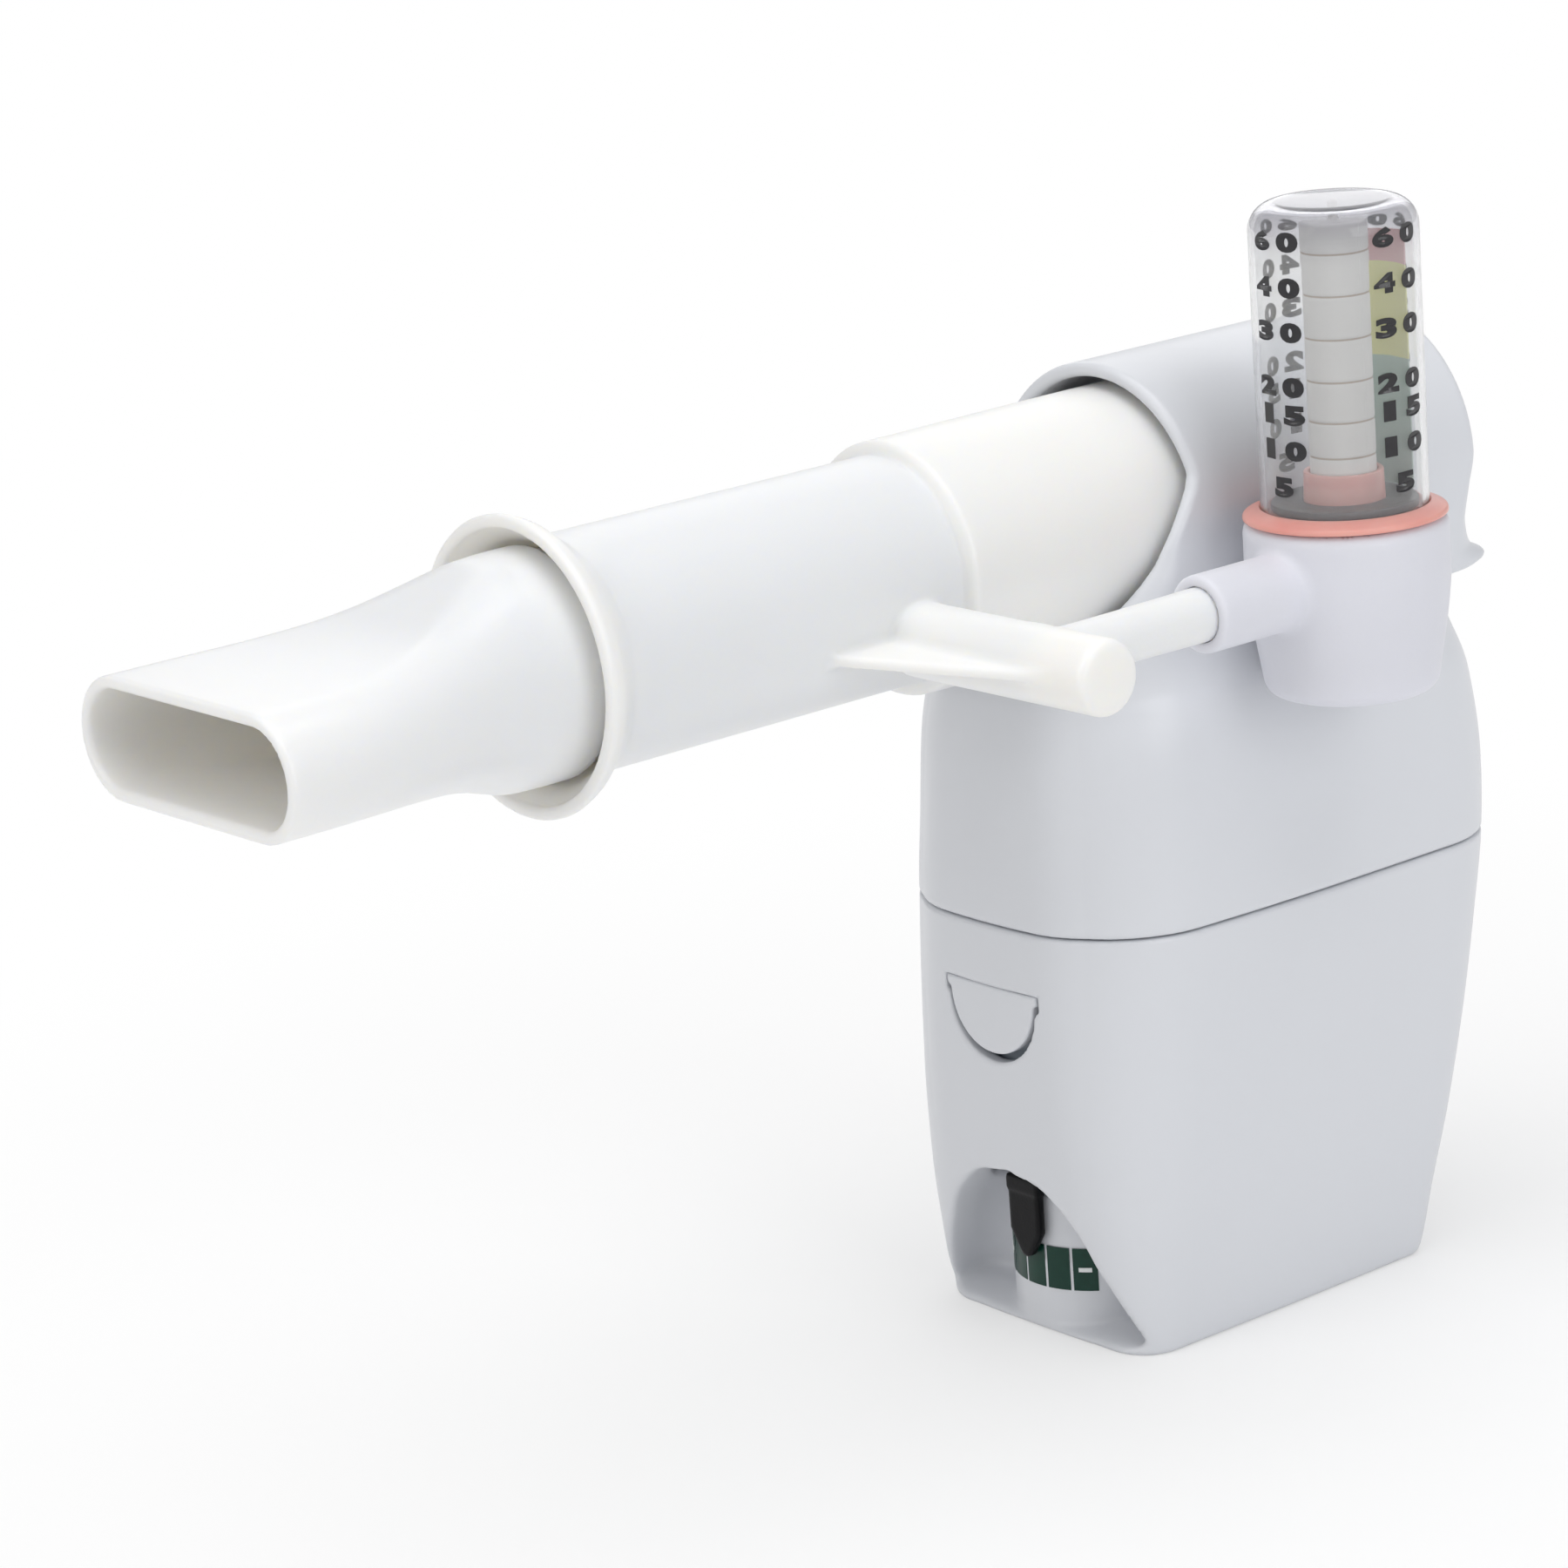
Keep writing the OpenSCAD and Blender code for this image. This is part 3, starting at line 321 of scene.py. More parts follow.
def case_depth(x, y, z, inset=0.0):
    """Depth in the outer form of the closed case, in millimetres, below zero inside."""
    ahead = curve(z, *front_levels)
    behind = curve(z, *rear_levels)
    half = curve(z, *side_levels)
    corner = np.maximum(curve(z, *corner_levels) - inset * corner_loss, least_corner)
    spare = np.maximum(largest_corner - corner - inset * corner_loss, 0)
    corner = corner + np.where((x > 0) & (z < seam_z), spare * front_round, 0)
    aside = np.abs(y - tube_y)
    swell = np.interp(z, *swell_levels)
    bulge = face_bulge * np.minimum(aside / np.maximum(half - flat_margin, least_flat), 1.0) ** 2 * swell
    half = half - side_bulge * np.clip((x - side_bulge_x) / side_bulge_span, 0, side_bulge_most) ** 2 * swell
    along = np.abs(x - (ahead - behind) / 2) - ((ahead + behind) / 2 - bulge - inset - corner)
    flank = np.where(z < tube_z, aside - half, np.hypot(aside, z - tube_z) - barrel_r)
    across = flank + inset + corner
    plan = np.hypot(np.maximum(along, 0), np.maximum(across, 0))
    plan = plan + np.minimum(np.maximum(along, across), 0) - corner
    return both(plan, inset - z, 0.7)


def moulded(name, depth, low, high, step, passes=4):
    """Mesh of the surface where depth(x, y, z) is zero, on a net of the given step in millimetres."""
    origin = np.array(low, float) - step
    counts = [int(math.ceil((b - a) / step)) + 3 for a, b in zip(low, high)]
    x, y, z = np.meshgrid(*[o + step * np.arange(n) for o, n in zip(origin, counts)], indexing="ij")
    field = depth(x, y, z)
    cells = tuple(n - 1 for n in field.shape)
    total, crossings = np.zeros(cells + (3,)), np.zeros(cells)
    edges = []
    for axis in range(3):
        start = [slice(None)] * 3
        end = [slice(None)] * 3
        start[axis], end[axis] = slice(0, -1), slice(1, None)
        a, b = field[tuple(start)], field[tuple(end)]
        crossed = (a < 0) != (b < 0)
        share = np.where(crossed, a / np.where(crossed, a - b, 1), 0)
        u, v = [i for i in range(3) if i != axis]
        for du, dv in itertools.product((0, 1), repeat=2):
            pick = [slice(None)] * 3
            pick[u] = slice(du, field.shape[u] - 1 + du)
            pick[v] = slice(dv, field.shape[v] - 1 + dv)
            hit = crossed[tuple(pick)]
            crossings += hit
            total[..., axis] += hit * share[tuple(pick)]
            total[..., u] += hit * du
            total[..., v] += hit * dv
        edges.append((crossed, a < 0, u, v))
    active = crossings > 0
    number = np.full(cells, -1)
    number[active] = np.arange(active.sum())
    points = (np.argwhere(active) + total[active] / crossings[active][:, None]) * step + origin
    faces = []
    for crossed, inside, u, v in edges:
        at = np.argwhere(crossed)
        within = (at[:, u] > 0) & (at[:, v] > 0)
        within &= (at[:, u] < field.shape[u] - 1) & (at[:, v] < field.shape[v] - 1)
        at = at[within]
        ring = []
        for du, dv in ((1, 1), (0, 1), (0, 0), (1, 0)):
            cell = at.copy()
            cell[:, u] -= du
            cell[:, v] -= dv
            ring.append(number[tuple(cell.T)])
        quads = np.stack(ring, 1)
        flip = inside[tuple(at.T)] == ((u, v) == (0, 2))
        quads[flip] = quads[flip][:, ::-1]
        faces.append(quads)
    faces = np.concatenate(faces)
    # a few passes draw the corners of the net onto the surface, by a part of a step each
    nudge, least_slope, reach_share = 0.02, 0.2, 0.4
    for _ in range(passes):
        here = depth(*points.T)
        rise = [depth(*(points + nudge * unit).T) - depth(*(points - nudge * unit).T) for unit in np.eye(3)]
        slope = np.stack(rise, 1) / (2 * nudge)
        move = here[:, None] * slope / np.maximum((slope**2).sum(1), least_slope)[:, None]
        reach = np.linalg.norm(move, axis=1)[:, None]
        points -= move * np.minimum(1, reach_share * step / np.maximum(reach, 1e-9))
    mesh = bpy.data.meshes.new(name)
    mesh.from_pydata((points * mm).tolist(), [], faces.tolist())
    mesh.shade_smooth()
    return mesh


def white_plastic(name, colour, roughness):
    """Moulded plastic: slight cloudiness, a fine tooled grain and faint handling marks."""
    paint = Paint(name, IOR=1.46, Coat_Weight=0.12, Coat_Roughness=0.25)
    cloud = paint.noise(38, 2)
    paint.feed(Base_Color=paint.mix(cloud, [c * 0.985 for c in colour], [min(c * 1.01, 1) for c in colour]))
    marks = paint.noise(420, 5, (1, 1, 0.3))
    paint.feed(Roughness=roughness + (marks - 0.5) * 0.12 + (cloud - 0.5) * 0.05)
    paint.grain(0.00002, 0.35, 2600, 2)
    return paint


arch_height, arch_half = 19.6, 16.0
arch_shares = ([0, 0.158, 0.337, 0.444, 0.54, 0.653, 0.75, 0.862, 0.893, 0.949, 0.98, 1],
               [1, 0.95, 0.863, 0.8, 0.735, 0.67, 0.595, 0.463, 0.42, 0.32, 0.22, 0.08])
arch_slant = 0.8
drum_x, drum_r, drum_top, drum_wall = 14.2, 9.6, 16.4, 1.4
floor_t, sill_t, sill_span = 1.6, 0.5, [19, 25]
pocket_x, pocket_wall, pocket_soft = drum_x + 2.3, 1.2, 5.0
skirt_h, gasket_t, plate_t = 3.6, 1, 1.7
frame_z = seam_z - skirt_h - gasket_t
shelf_half_t, shelf_w = 0.6, 1.6
post_r, post_foot, post_rise = 3.0, 0.4, 1.7
sweep_r, sweep_h, sweep_front = drum_r + 1.8, 2.3, 25.8
swing_z, swing_half = 8.6, 9.2


def arch_depth(x, y, z, grow=0.0):
    """Depth in the bell shaped opening, seen from the front."""
    share = np.clip(z / arch_height, 0, 1)
    half = arch_half * curve(share, *arch_shares)
    return both((np.abs(y) - half) * arch_slant, z - arch_height, 1.2) - grow


tab_half, tab_z, tab_leg = 7.2, 41.6, 1.2
tab_t, tab_gap, tab_foot_gap = 1.5, 0.3, 0.7
tab_inner_x, slot_inner_x = 12, 14


def tab_depth(y, z, gap, drop):
    """Depth in the outline of a finger tab, seen from the front."""
    foot = tab_z - tab_leg - drop
    round_ = np.hypot(y, z - foot) - (tab_half - tab_leg / 2 + gap)
    legs = both(np.abs(y) - tab_half - gap, foot - z, 0.5)
    return both(either(round_, legs, 0.5), z - tab_z, 0.05)


def lower_depth(x, y, z):
    outside = case_depth(x, y, z)
    at_drum = (drum_x, 0, 0)
    pocket = both(arch_depth(x, y, z), pocket_x - x, pocket_soft)
    pocket = both(pocket, np.interp(x, sill_span, [floor_t, sill_t]) - z, 1.6)
    drum = tube_along(2, x, y, z, at_drum, drum_r, -9, drum_top, 0.5)
    cavity = both(outside + wall, floor_t - z, 0.8)
    pocket_back = both(arch_depth(x, y, z, pocket_wall), pocket_x - pocket_wall - x, 0.8)
    cavity = without(cavity, pocket_back, 0.8)
    shelf_level = np.abs(z - (frame_z - plate_t - shelf_half_t)) - shelf_half_t
    shelf = both(shelf_level, -(outside + wall + shelf_w), 0.2)
    shelf = without(shelf, np.abs(y) - tab_half - shelf_w, 0.2)
    cavity = without(cavity, shelf, 0.3)
    shell = without(both(outside, z - (seam_z - seam_gap), 0.45), cavity, 0.6)
    shell = without(shell, without(pocket, drum, 0.7), 1.0)
    sweep = tube_along(2, x, y, z, at_drum, sweep_r, drum_top, drum_top + sweep_h, 0.2)
    sweep = both(sweep, x - sweep_front, 0.2)
    bore = tube_along(2, x, y, z, at_drum, drum_r - drum_wall, floor_t, arch_height + 0.4, 0.2)
    shell = without(shell, either(sweep, bore, 0.2), 0.3)
    swing = tube_along(2, x, y, z, at_drum, sweep_r, swing_z, drum_top + 1, 0.2)
    swing = both(swing, np.maximum(np.abs(y) - swing_half, drum_x + post_r - x), 0.3)
    shell = without(shell, without(swing, drum, 0.1), 0.3)
    post = tube_along(2, x, y, z, at_drum, post_r, post_foot, drum_top + post_rise, 0.3)
    shell = either(shell, post, 0.3)
    slot = both(tab_depth(y, z, tab_gap, tab_foot_gap), slot_inner_x - np.abs(x), 0.2)
    return without(shell, slot, 0.25)


coarse = 1.0
case_step, limb_step, fine_step = 0.42 * coarse, 0.34 * coarse, 0.22 * coarse
case_white = white_plastic("case_white", (0.69, 0.705, 0.74), 0.34)
lower_mesh = moulded("lower_shell_moulding", lower_depth, (-38.4, -21.6, -0.4), (28.8, 21.6, 49), case_step)
put("lower_shell_moulding", lower_mesh, case_white, "lower_shell", ["lower_case"])


# Finger tabs: tongues of the lower shell's own wall, freed by a U-shaped gap that stops
# at their top edge, one on each narrow face.

for tongue, side, near, far in (("front_tab", 1, 20, 29), ("rear_tab", -1, -38, -28)):
    def tongue_depth(x, y, z):
        outside = case_depth(x, y, z)
        skin = both(without(outside, outside + tab_t, 0.2), tab_inner_x - side * x, 0.2)
        return both(skin, tab_depth(y, z, 0, 0), 0.3)

    name = tongue + "_moulding"
    tongue_mesh = moulded(name, tongue_depth, (near, -8, 32.5), (far, 8, 42), fine_step)
    put(name, tongue_mesh, case_white, tongue, [tongue])


# Upper case: the white shell over the valve, moulded in one with the round barrel. The
# barrel's front rim runs forwards over the shoulders as a thin rounded lip, and its rear
# lip overhangs a finger groove.

recess_r, socket_r, chamber_r, duct_r = 15.2, 11.05, 15.0, 9.0
bulkhead_x, bulkhead_t = -10.0, 8.0
rear_wall_x = -27.0
well_x = (bulkhead_x + rear_wall_x) / 2
hollow_top, duct_foot, duct_top = 73.2, 66, 88
seat_gap, skirt_t, skirt_rise = 0.3, 1.0, 2.2


def upper_depth(x, y, z):
    outside = case_depth(x, y, z)
    axis = (0, tube_y, tube_z)
    shell = both(outside, (seam_z + seam_gap) - z, 0.45)
    shell = without(shell, both(outside + wall, z - hollow_top, 1.0), 0.5)
    shell = without(shell, tube_along(0, x, y, z, axis, recess_r, bulkhead_x + bulkhead_t, 60, 0.8), 0.9)
    shell = without(shell, tube_along(0, x, y, z, axis, chamber_r, rear_wall_x, bulkhead_x, 0.6), 0.4)
    shell = without(shell, tube_along(0, x, y, z, axis, socket_r, -60, 20, 0.2), 0.8)
    duct = tube_along(2, x, y, z, (well_x, tube_y, 0), duct_r, duct_foot, duct_top, 0.4)
    shell = without(shell, duct, 0.5)
    inset = outside + wall + seat_gap
    skirt_level = np.maximum(seam_z - skirt_h - z, z - seam_z - skirt_rise)
    skirt = both(without(inset, inset + skirt_t, 0.2), skirt_level, 0.2)
    web_level = np.maximum(seam_z - z, z - seam_z - wall)
    web = both(without(outside + 1.0, inset + skirt_t, 0.2), web_level, 0.2)
    return either(shell, either(skirt, web, 0.2), 0.2)


upper_mesh = moulded("upper_shell_moulding", upper_depth, (-40.8, -21.6, 44.8), (28.8, 21.6, 108.1),
                     case_step)
put("upper_shell_moulding", upper_mesh, case_white, "upper_shell", ["upper_case"])


# Plug-in tube: one warm white moulding. A spigot enters the barrel, a thick sleeve steps
# down to the tube, which ends in a flared lip. A closed side arm with a flat web carries
# the thin stem for the gauge.

tube_r, tube_wall, sleeve_r, sleeve_draft = 12.4, 1.2, 13.8, 0.25
sleeve_x, tube_front, lip_r, lip_t = 38.5, 88.3, 15.7, 1.4
spigot_x, spigot_r, spigot_bore = bulkhead_x - 1, 11.0, 9.8
arm_x, arm_r, arm_reach, arm_z = 45.0, 4.0, 40.6, tube_z - 4.5
arm_bore, stem_bore = 2.2, 1.5
stem_r, stem_y = 2.95, tube_y + 29.2
gauge_x = -0.8
stem_end = gauge_x + 13
root_y = 11
web_root, web_taper, web_half_t = 12.1, 9.7, 0.6
tube_outside = (
    [spigot_x, -1.9, -1.7, sleeve_x - 0.45, sleeve_x + 0.45, tube_front - 8.5, tube_front - 5.5,
     tube_front - 3.5, tube_front - 2, tube_front - 0.8],
    [spigot_r, spigot_r, sleeve_r + sleeve_draft, sleeve_r, tube_r, tube_r, 12.75, 14.0, 15.2, lip_r])
tube_inside = (
    [spigot_x, 30.4, sleeve_x, tube_front - 6.5, tube_front - 3, tube_front - 0.6],
    [spigot_bore, spigot_bore, tube_r - tube_wall, tube_r - tube_wall, tube_r + 0.2, lip_r - lip_t])
stem_line = ([stem_end + 8, arm_x - 9, arm_x - 4], [stem_r, stem_r - 0.15, stem_r - 0.15])


def adapter_depth(x, y, z):
    across = np.hypot(y - tube_y, z - tube_z)
    outer, inner = curve(x, *tube_outside), curve(x, *tube_inside)
    tube = both(both(across - outer, inner - across, 0.3), np.maximum(spigot_x - x, x - tube_front), 0.5)
    at_arm, at_stem = (arm_x, 0, arm_z), (0, stem_y, arm_z)
    arm = tube_along(1, x, y, z, at_arm, arm_r, tube_y + root_y, tube_y + arm_reach, 1.1)
    flare = curve(x, *stem_line)
    stem = both(np.hypot(y - stem_y, z - arm_z) - flare, np.maximum(stem_end - x, x - arm_x), 0.5)
    limbs = either(arm, stem, 1.6)
    out = (y - tube_y - 11.2) / (arm_reach - 12.4)
    web_edge = np.maximum(x - (arm_x + web_root - web_taper * out), arm_x - x)
    web = both(web_edge, np.abs(z - arm_z - 0.1) - web_half_t, 0.5)
    web = both(web, np.maximum(tube_y + root_y - y, y - tube_y - arm_reach + arm_r), 0.5)
    whole = either(tube, without(either(limbs, web, 0.9), across - inner, 0.3), 1.0)
    bores = either(tube_along(1, x, y, z, at_arm, arm_bore, tube_y + 8, stem_y + 2, 0.3),
                   tube_along(0, x, y, z, at_stem, stem_bore, 0, arm_x, 0.2), 0.2)
    return without(whole, bores, 0.3)


warm_white = white_plastic("warm_white_plastic", (0.86, 0.855, 0.835), 0.36)
warm_white.glow_through()
tube_mesh = moulded("plug_in_tube", adapter_depth, (-11.4, -16, 75), (88.6, 41, 106.8), case_step)
put("plug_in_tube", tube_mesh, warm_white, "adapter", ["inlet_adapter"])


# Mouthpiece: a warm white duck-bill, round where it plugs into the tube and flattened
# to a long oval for the lips. It is a thin even wall all the way.

mouth_wall, mouth_drop, mouth_front = 1.3, 0.3, 128
bill_overlap, plug_x, plug_r, plug_bore = 3.2, 65.8, 11.15, 9.85
bill_places = [70.2, 88.2, 92.2, 96.3, 100.4, 104.4, 108.4, 112.4, 116.4, 120.4, 128.4]
bill_heights = [12.1, 12.1, 11.85, 10.55, 9.0, 7.85, 7.15, 6.7, 6.48, 6.41, 6.4]
bill_widths = [12.1, 12.1, 12.2, 12.8, 13.8, 15.0, 16.2, 17.2, 17.9, 18.25, 18.4]
drop_line = ([87.4, 97.4, 107.4, 127.4], [0, 0.4, 0.8, 1])


def mouth_depth(x, y, z):
    tall, wide = curve(x, bill_places, bill_heights), curve(x, bill_places, bill_widths)
    level = tube_z - mouth_drop * curve(x, *drop_line)
    corner = np.minimum(tall, wide)
    dy = np.abs(y - tube_y) - (wide - corner)
    dz = np.abs(z - level) - (tall - corner)
    ring = np.hypot(np.maximum(dy, 0), np.maximum(dz, 0)) + np.minimum(np.maximum(dy, dz), 0) - corner
    ends = np.maximum(tube_front - bill_overlap - x, x - mouth_front)
    bill = both(both(ring, -(ring + mouth_wall), 0.3), ends, 0.6)
    round_ = np.hypot(y - tube_y, z - tube_z)
    plug_ends = np.maximum(plug_x - x, x - tube_front - 1)
    plug = both(both(round_ - plug_r, plug_bore - round_, 0.3), plug_ends, 0.3)
    return either(bill, plug, 0.4)


mouth_white = white_plastic("mouthpiece_white", (0.86, 0.855, 0.84), 0.33)
mouth_white.glow_through()
mouth_mesh = moulded("mouthpiece_moulding", mouth_depth, (65.4, -19, 78.4), (128.3, 19, 103.4), case_step)
put("mouthpiece_moulding", mouth_mesh, mouth_white, "mouthpiece", ["mouthpiece"])


# Gauge cup: a frosted, faintly lavender cup with a socket collar that is pushed over the
# stem. It is the pressure chamber under the diaphragm.

cup_r, cup_z, cup_h, cup_foot, cup_wall, cup_floor = 11.0, 73.6, 19.2, 9.2, 1.2, 1.6
collar_r, collar_x, collar_len, stem_hole = 4.2, gauge_x + 9.8, 12.7, 3.0
gauge_y, cup_top = stem_y, cup_z + cup_h
gauge_axis = (gauge_x, gauge_y)
cup_line = ([cup_z, cup_z + 2, cup_z + 12.3, cup_z + 13.5, cup_top],
            [cup_foot, cup_foot + 0.32, cup_r - 0.05, cup_r, cup_r])


def cup_depth(x, y, z):
    radius = np.hypot(x - gauge_x, y - gauge_y)
    outer = curve(z, *cup_line)
    at_stem = (0, gauge_y, arm_z)
    body = both(radius - outer, np.maximum(cup_z - z, z - cup_top), 1.7)
    collar = tube_along(0, x, y, z, at_stem, collar_r, gauge_x + 9, collar_x + collar_len, 0.7)
    hollow = both(radius - (outer - cup_wall), cup_z + cup_floor - z, 1.0)
    holes = either(tube_along(0, x, y, z, at_stem, stem_hole, stem_end, 60, 0.2),
                   tube_along(0, x, y, z, at_stem, stem_bore, gauge_x, 60, 0.2), 0.2)
    return without(without(either(body, collar, 1.2), hollow, 0.4), holes, 0.3)


frosted = Paint("frosted_cup_plastic", IOR=1.45, Subsurface_Weight=0.25,
                Subsurface_Radius=(0.004, 0.004, 0.0045), Subsurface_Scale=1.0)
frosted.mottle((0.70, 0.705, 0.775), (0.75, 0.755, 0.82), 60, 3)
frosted.feed(Roughness=0.42 + (frosted.noise(500, 4) - 0.5) * 0.12)
frosted.grain(0.00003, 0.5, 3000, 2)
cup_mesh = moulded("gauge_cup_moulding", cup_depth, (-12.2, 17.8, 73.2), (22.1, 40.6, 93.1), limb_step)
put("gauge_cup_moulding", cup_mesh, frosted, "gauge", ["gauge_cup"])


# Gauge diaphragm: a translucent red silicone disc. Its bevelled rim is pinched between
# cup and dome, and shows as a red ring.

def round_point(axis, r, a, z):
    """The point at radius r, angle a and height z about an upright axis, in metres."""
    return (axis[0] + r * math.cos(a)) * mm, (axis[1] + r * math.sin(a)) * mm, z * mm


def rounded(outline, radius):
    """The outline with each corner turned into a small arc of five points."""
    result = []
    for before, corner, after in zip(outline[-1:] + outline[:-1], outline, outline[1:] + outline[:1]):
        c = Vector(corner)
        steps = [Vector(other) - c for other in (before, after)]
        a, b = [c + step * min(0.45, radius / max(step.length, 1e-6)) for step in steps]
        result += [tuple(a * (1 - t) ** 2 + c * 2 * t * (1 - t) + b * t * t) for t in (0, 0.25, 0.5, 0.75, 1)]
    return result


def turned(name, outline, steps=96):
    """Mesh turned about the gauge's upright axis from a closed outline of (radius, height)."""
    points, faces = [], []
    for i in range(steps):
        a = 2 * math.pi * i / steps
        points += [round_point(gauge_axis, r, a, z) for r, z in outline]
    n = len(outline)
    for i, j in itertools.product(range(steps), range(n)):
        k, l = (i + 1) % steps, (j + 1) % n
        if outline[j][0] > 1e-6 or outline[l][0] > 1e-6:
            faces.append((i * n + j, k * n + j, k * n + l, i * n + l))
    mesh = bpy.data.meshes.new(name)
    mesh.from_pydata(points, [], faces)
    shape = bmesh.new()
    shape.from_mesh(mesh)
    bmesh.ops.remove_doubles(shape, verts=shape.verts, dist=1e-7)
    bmesh.ops.dissolve_degenerate(shape, edges=shape.edges, dist=1e-7)
    bmesh.ops.recalc_face_normals(shape, faces=shape.faces)
    shape.to_mesh(mesh)
    shape.free()
    mesh.shade_smooth()
    mesh.set_sharp_from_angle(angle=math.radians(32))
    return mesh


silicone = Paint("red_silicone", Roughness=0.3, IOR=1.41, Subsurface_Weight=0.35,
                 Subsurface_Radius=(0.006, 0.002, 0.0015), Subsurface_Scale=1.0)
silicone.mottle((0.72, 0.24, 0.21), (0.86, 0.42, 0.37), 140, 4, (1, 1, 5))
silicone.grain(0.00004, 0.4, 900, 3)
dome_z = cup_top + 0.7
rim_top, rim_in, rim_fall, rim_step = dome_z + 0.7, 9.06, 0.1, 0.55
rim_corners = [(0, dome_z), (cup_r, cup_top), (cup_r - rim_fall, cup_top + rim_step), (rim_in, rim_top),
               (rim_in, dome_z)]
rim_line = [(0, cup_top)] + rounded(rim_corners, 0.25)[5:20] + [(rim_in, dome_z), (0, dome_z)]
put("gauge_diaphragm_disc", turned("gauge_diaphragm_disc", rim_line), silicone, "gauge", ["gauge_diaphragm"])


# Gauge dome: a clear thin-walled cap, moulded in one, with a rounded shoulder. Its shoulder
# and top are coloured a darker grey than the wall, as painted shade. It stands in the
# diaphragm's rim and carries the scale numbers.

dome_r, dome_h, dome_wall, dome_round = 9.0, 33.2, 0.7, 3.0
dome_top = dome_z + dome_h


def dome_line(inset):
    """Outline of the dome from its foot up over the shoulder to the axis, drawn in by inset."""
    radius, top, round_ = dome_r - inset, dome_top - inset, dome_round - inset
    turn = np.linspace(0, math.pi / 2, 9)
    arc = [(radius - round_ + round_ * math.cos(a), top - round_ + round_ * math.sin(a)) for a in turn]
    return [(radius, dome_z)] + arc + [(0, top)]


clear = Paint("clear_plastic", Transmission_Weight=0.9, IOR=1.3)
# painted shade: above 121 mm the dome's colour turns from pale to a darker grey over its shoulder and top
shaded_crown_range = {"Value": clear.height(), "From Min": 0.121, "From Max": 0.1255}
shaded_crown = clear.node("ShaderNodeMapRange", {}, shaded_crown_range)
clear.feed(Base_Color=clear.mix(shaded_crown, (0.90, 0.905, 0.915), (0.66, 0.66, 0.69)))
clear.feed(Roughness=0.03 + clear.noise(180, 4, (1, 1, 0.4)) * 0.04)
clear.grain(0.00002, 0.3, 90, 2)
dome_mesh = turned("gauge_dome_shell", dome_line(0) + dome_line(dome_wall)[::-1])
put("gauge_dome_shell", dome_mesh, clear, "gauge", ["gauge_dome"])


# Guide column: an off-white hollow post that hangs from the top of the dome, with a fine
# brown groove at each mark of the scale and a long slot down two sides for the indicator.

foot_z = dome_z + 0.1
column_r, column_bore, column_top, bore_top = 3.6, 2.3, 124.7, 123.5
mark_heights = (121.25, 116.8, 112.2, 107.65, 103.3, 99.5)
mark_depth, mark_half_w = 0.12, 0.11
pip_r, pip_z = 0.55, 124.1
slot_angle, slot_half_w, slot_h = math.radians(136), 0.6, 26.1


def column_depth(x, y, z):
    u, v = x - gauge_x, y - gauge_y
    radius = np.hypot(u, v)
    off_mark = np.min([np.abs(z - mark) for mark in mark_heights], axis=0)
    side = radius - column_r + mark_depth * np.exp(-((off_mark / mark_half_w) ** 2))
    post = both(side, np.maximum(foot_z - z, z - column_top), 0.5)
    pip = both(radius - pip_r, np.maximum(pip_z - z, z - (dome_top - dome_wall)), 0.4)
    bore = both(radius - column_bore, z - bore_top, 0.3)
    across = np.abs(-u * math.sin(slot_angle) + v * math.cos(slot_angle)) - slot_half_w
    slot = both(across, z - foot_z - slot_h, 0.3)
    return either(without(without(post, bore, 0.2), slot, 0.25), pip, 0.5)


ivory = Paint("ivory_plastic", Roughness=0.5, IOR=1.46)
level = ivory.height()
line = None
for mark in mark_heights:
    offset = level - mark * mm
    hit = offset.math("ABSOLUTE", offset) < mark_half_w * mm
    line = hit if line is None else line + hit
ivory_body = ivory.mix(ivory.noise(200, 3), (0.68, 0.67, 0.645), (0.74, 0.73, 0.70))
ivory.feed(Base_Color=ivory.mix(line * 0.75, ivory_body, (0.33, 0.24, 0.15)))
ivory.grain(0.00002, 0.4, 2500, 2)
column_mesh = moulded("guide_column_post", column_depth, (-4.6, 25.4, 93.4), (3, 33, 126.3), 0.2 * coarse)
put("guide_column_post", column_mesh, ivory, "gauge", ["guide_column"])


# Indicator: a thin black ring that floats on the diaphragm, with a translucent red sleeve
# around the column. A cross bar and piston inside the column press it on the spring.

matt_black = Paint("matt_black_plastic", Roughness=0.42, IOR=1.48)
matt_black.mottle((0.012, 0.012, 0.014), (0.03, 0.028, 0.032), 300, 3)
matt_black.grain(0.00003, 0.5, 3500, 3)
sleeve_in = column_r + 0.1
sleeve_out, sleeve_h, sleeve_taper = sleeve_in + 0.7, 4.2, 0.15
ring_r, ring_z, ring_h = 7.85, foot_z + 0.2, 0.9
ring_line = [(sleeve_out, ring_z), (ring_r, ring_z), (ring_r, ring_z + ring_h), (sleeve_out, ring_z + ring_h)]
sleeve_line = [(sleeve_in, foot_z), (sleeve_out, foot_z), (sleeve_out - sleeve_taper, foot_z + sleeve_h),
               (sleeve_in, foot_z + sleeve_h)]
put("indicator_ring_disc", turned("indicator_ring_disc", rounded(ring_line, 0.2)),
    matt_black, "indicator", ["indicator_ring"])
put("indicator_sleeve_tube", turned("indicator_sleeve_tube", rounded(sleeve_line, 0.2)),
    silicone, "indicator", ["indicator_sleeve"])

turns, wire_r, coil_r = 15, 0.17, 1.85
spring_foot, spring_top = foot_z + 1.02, bore_top


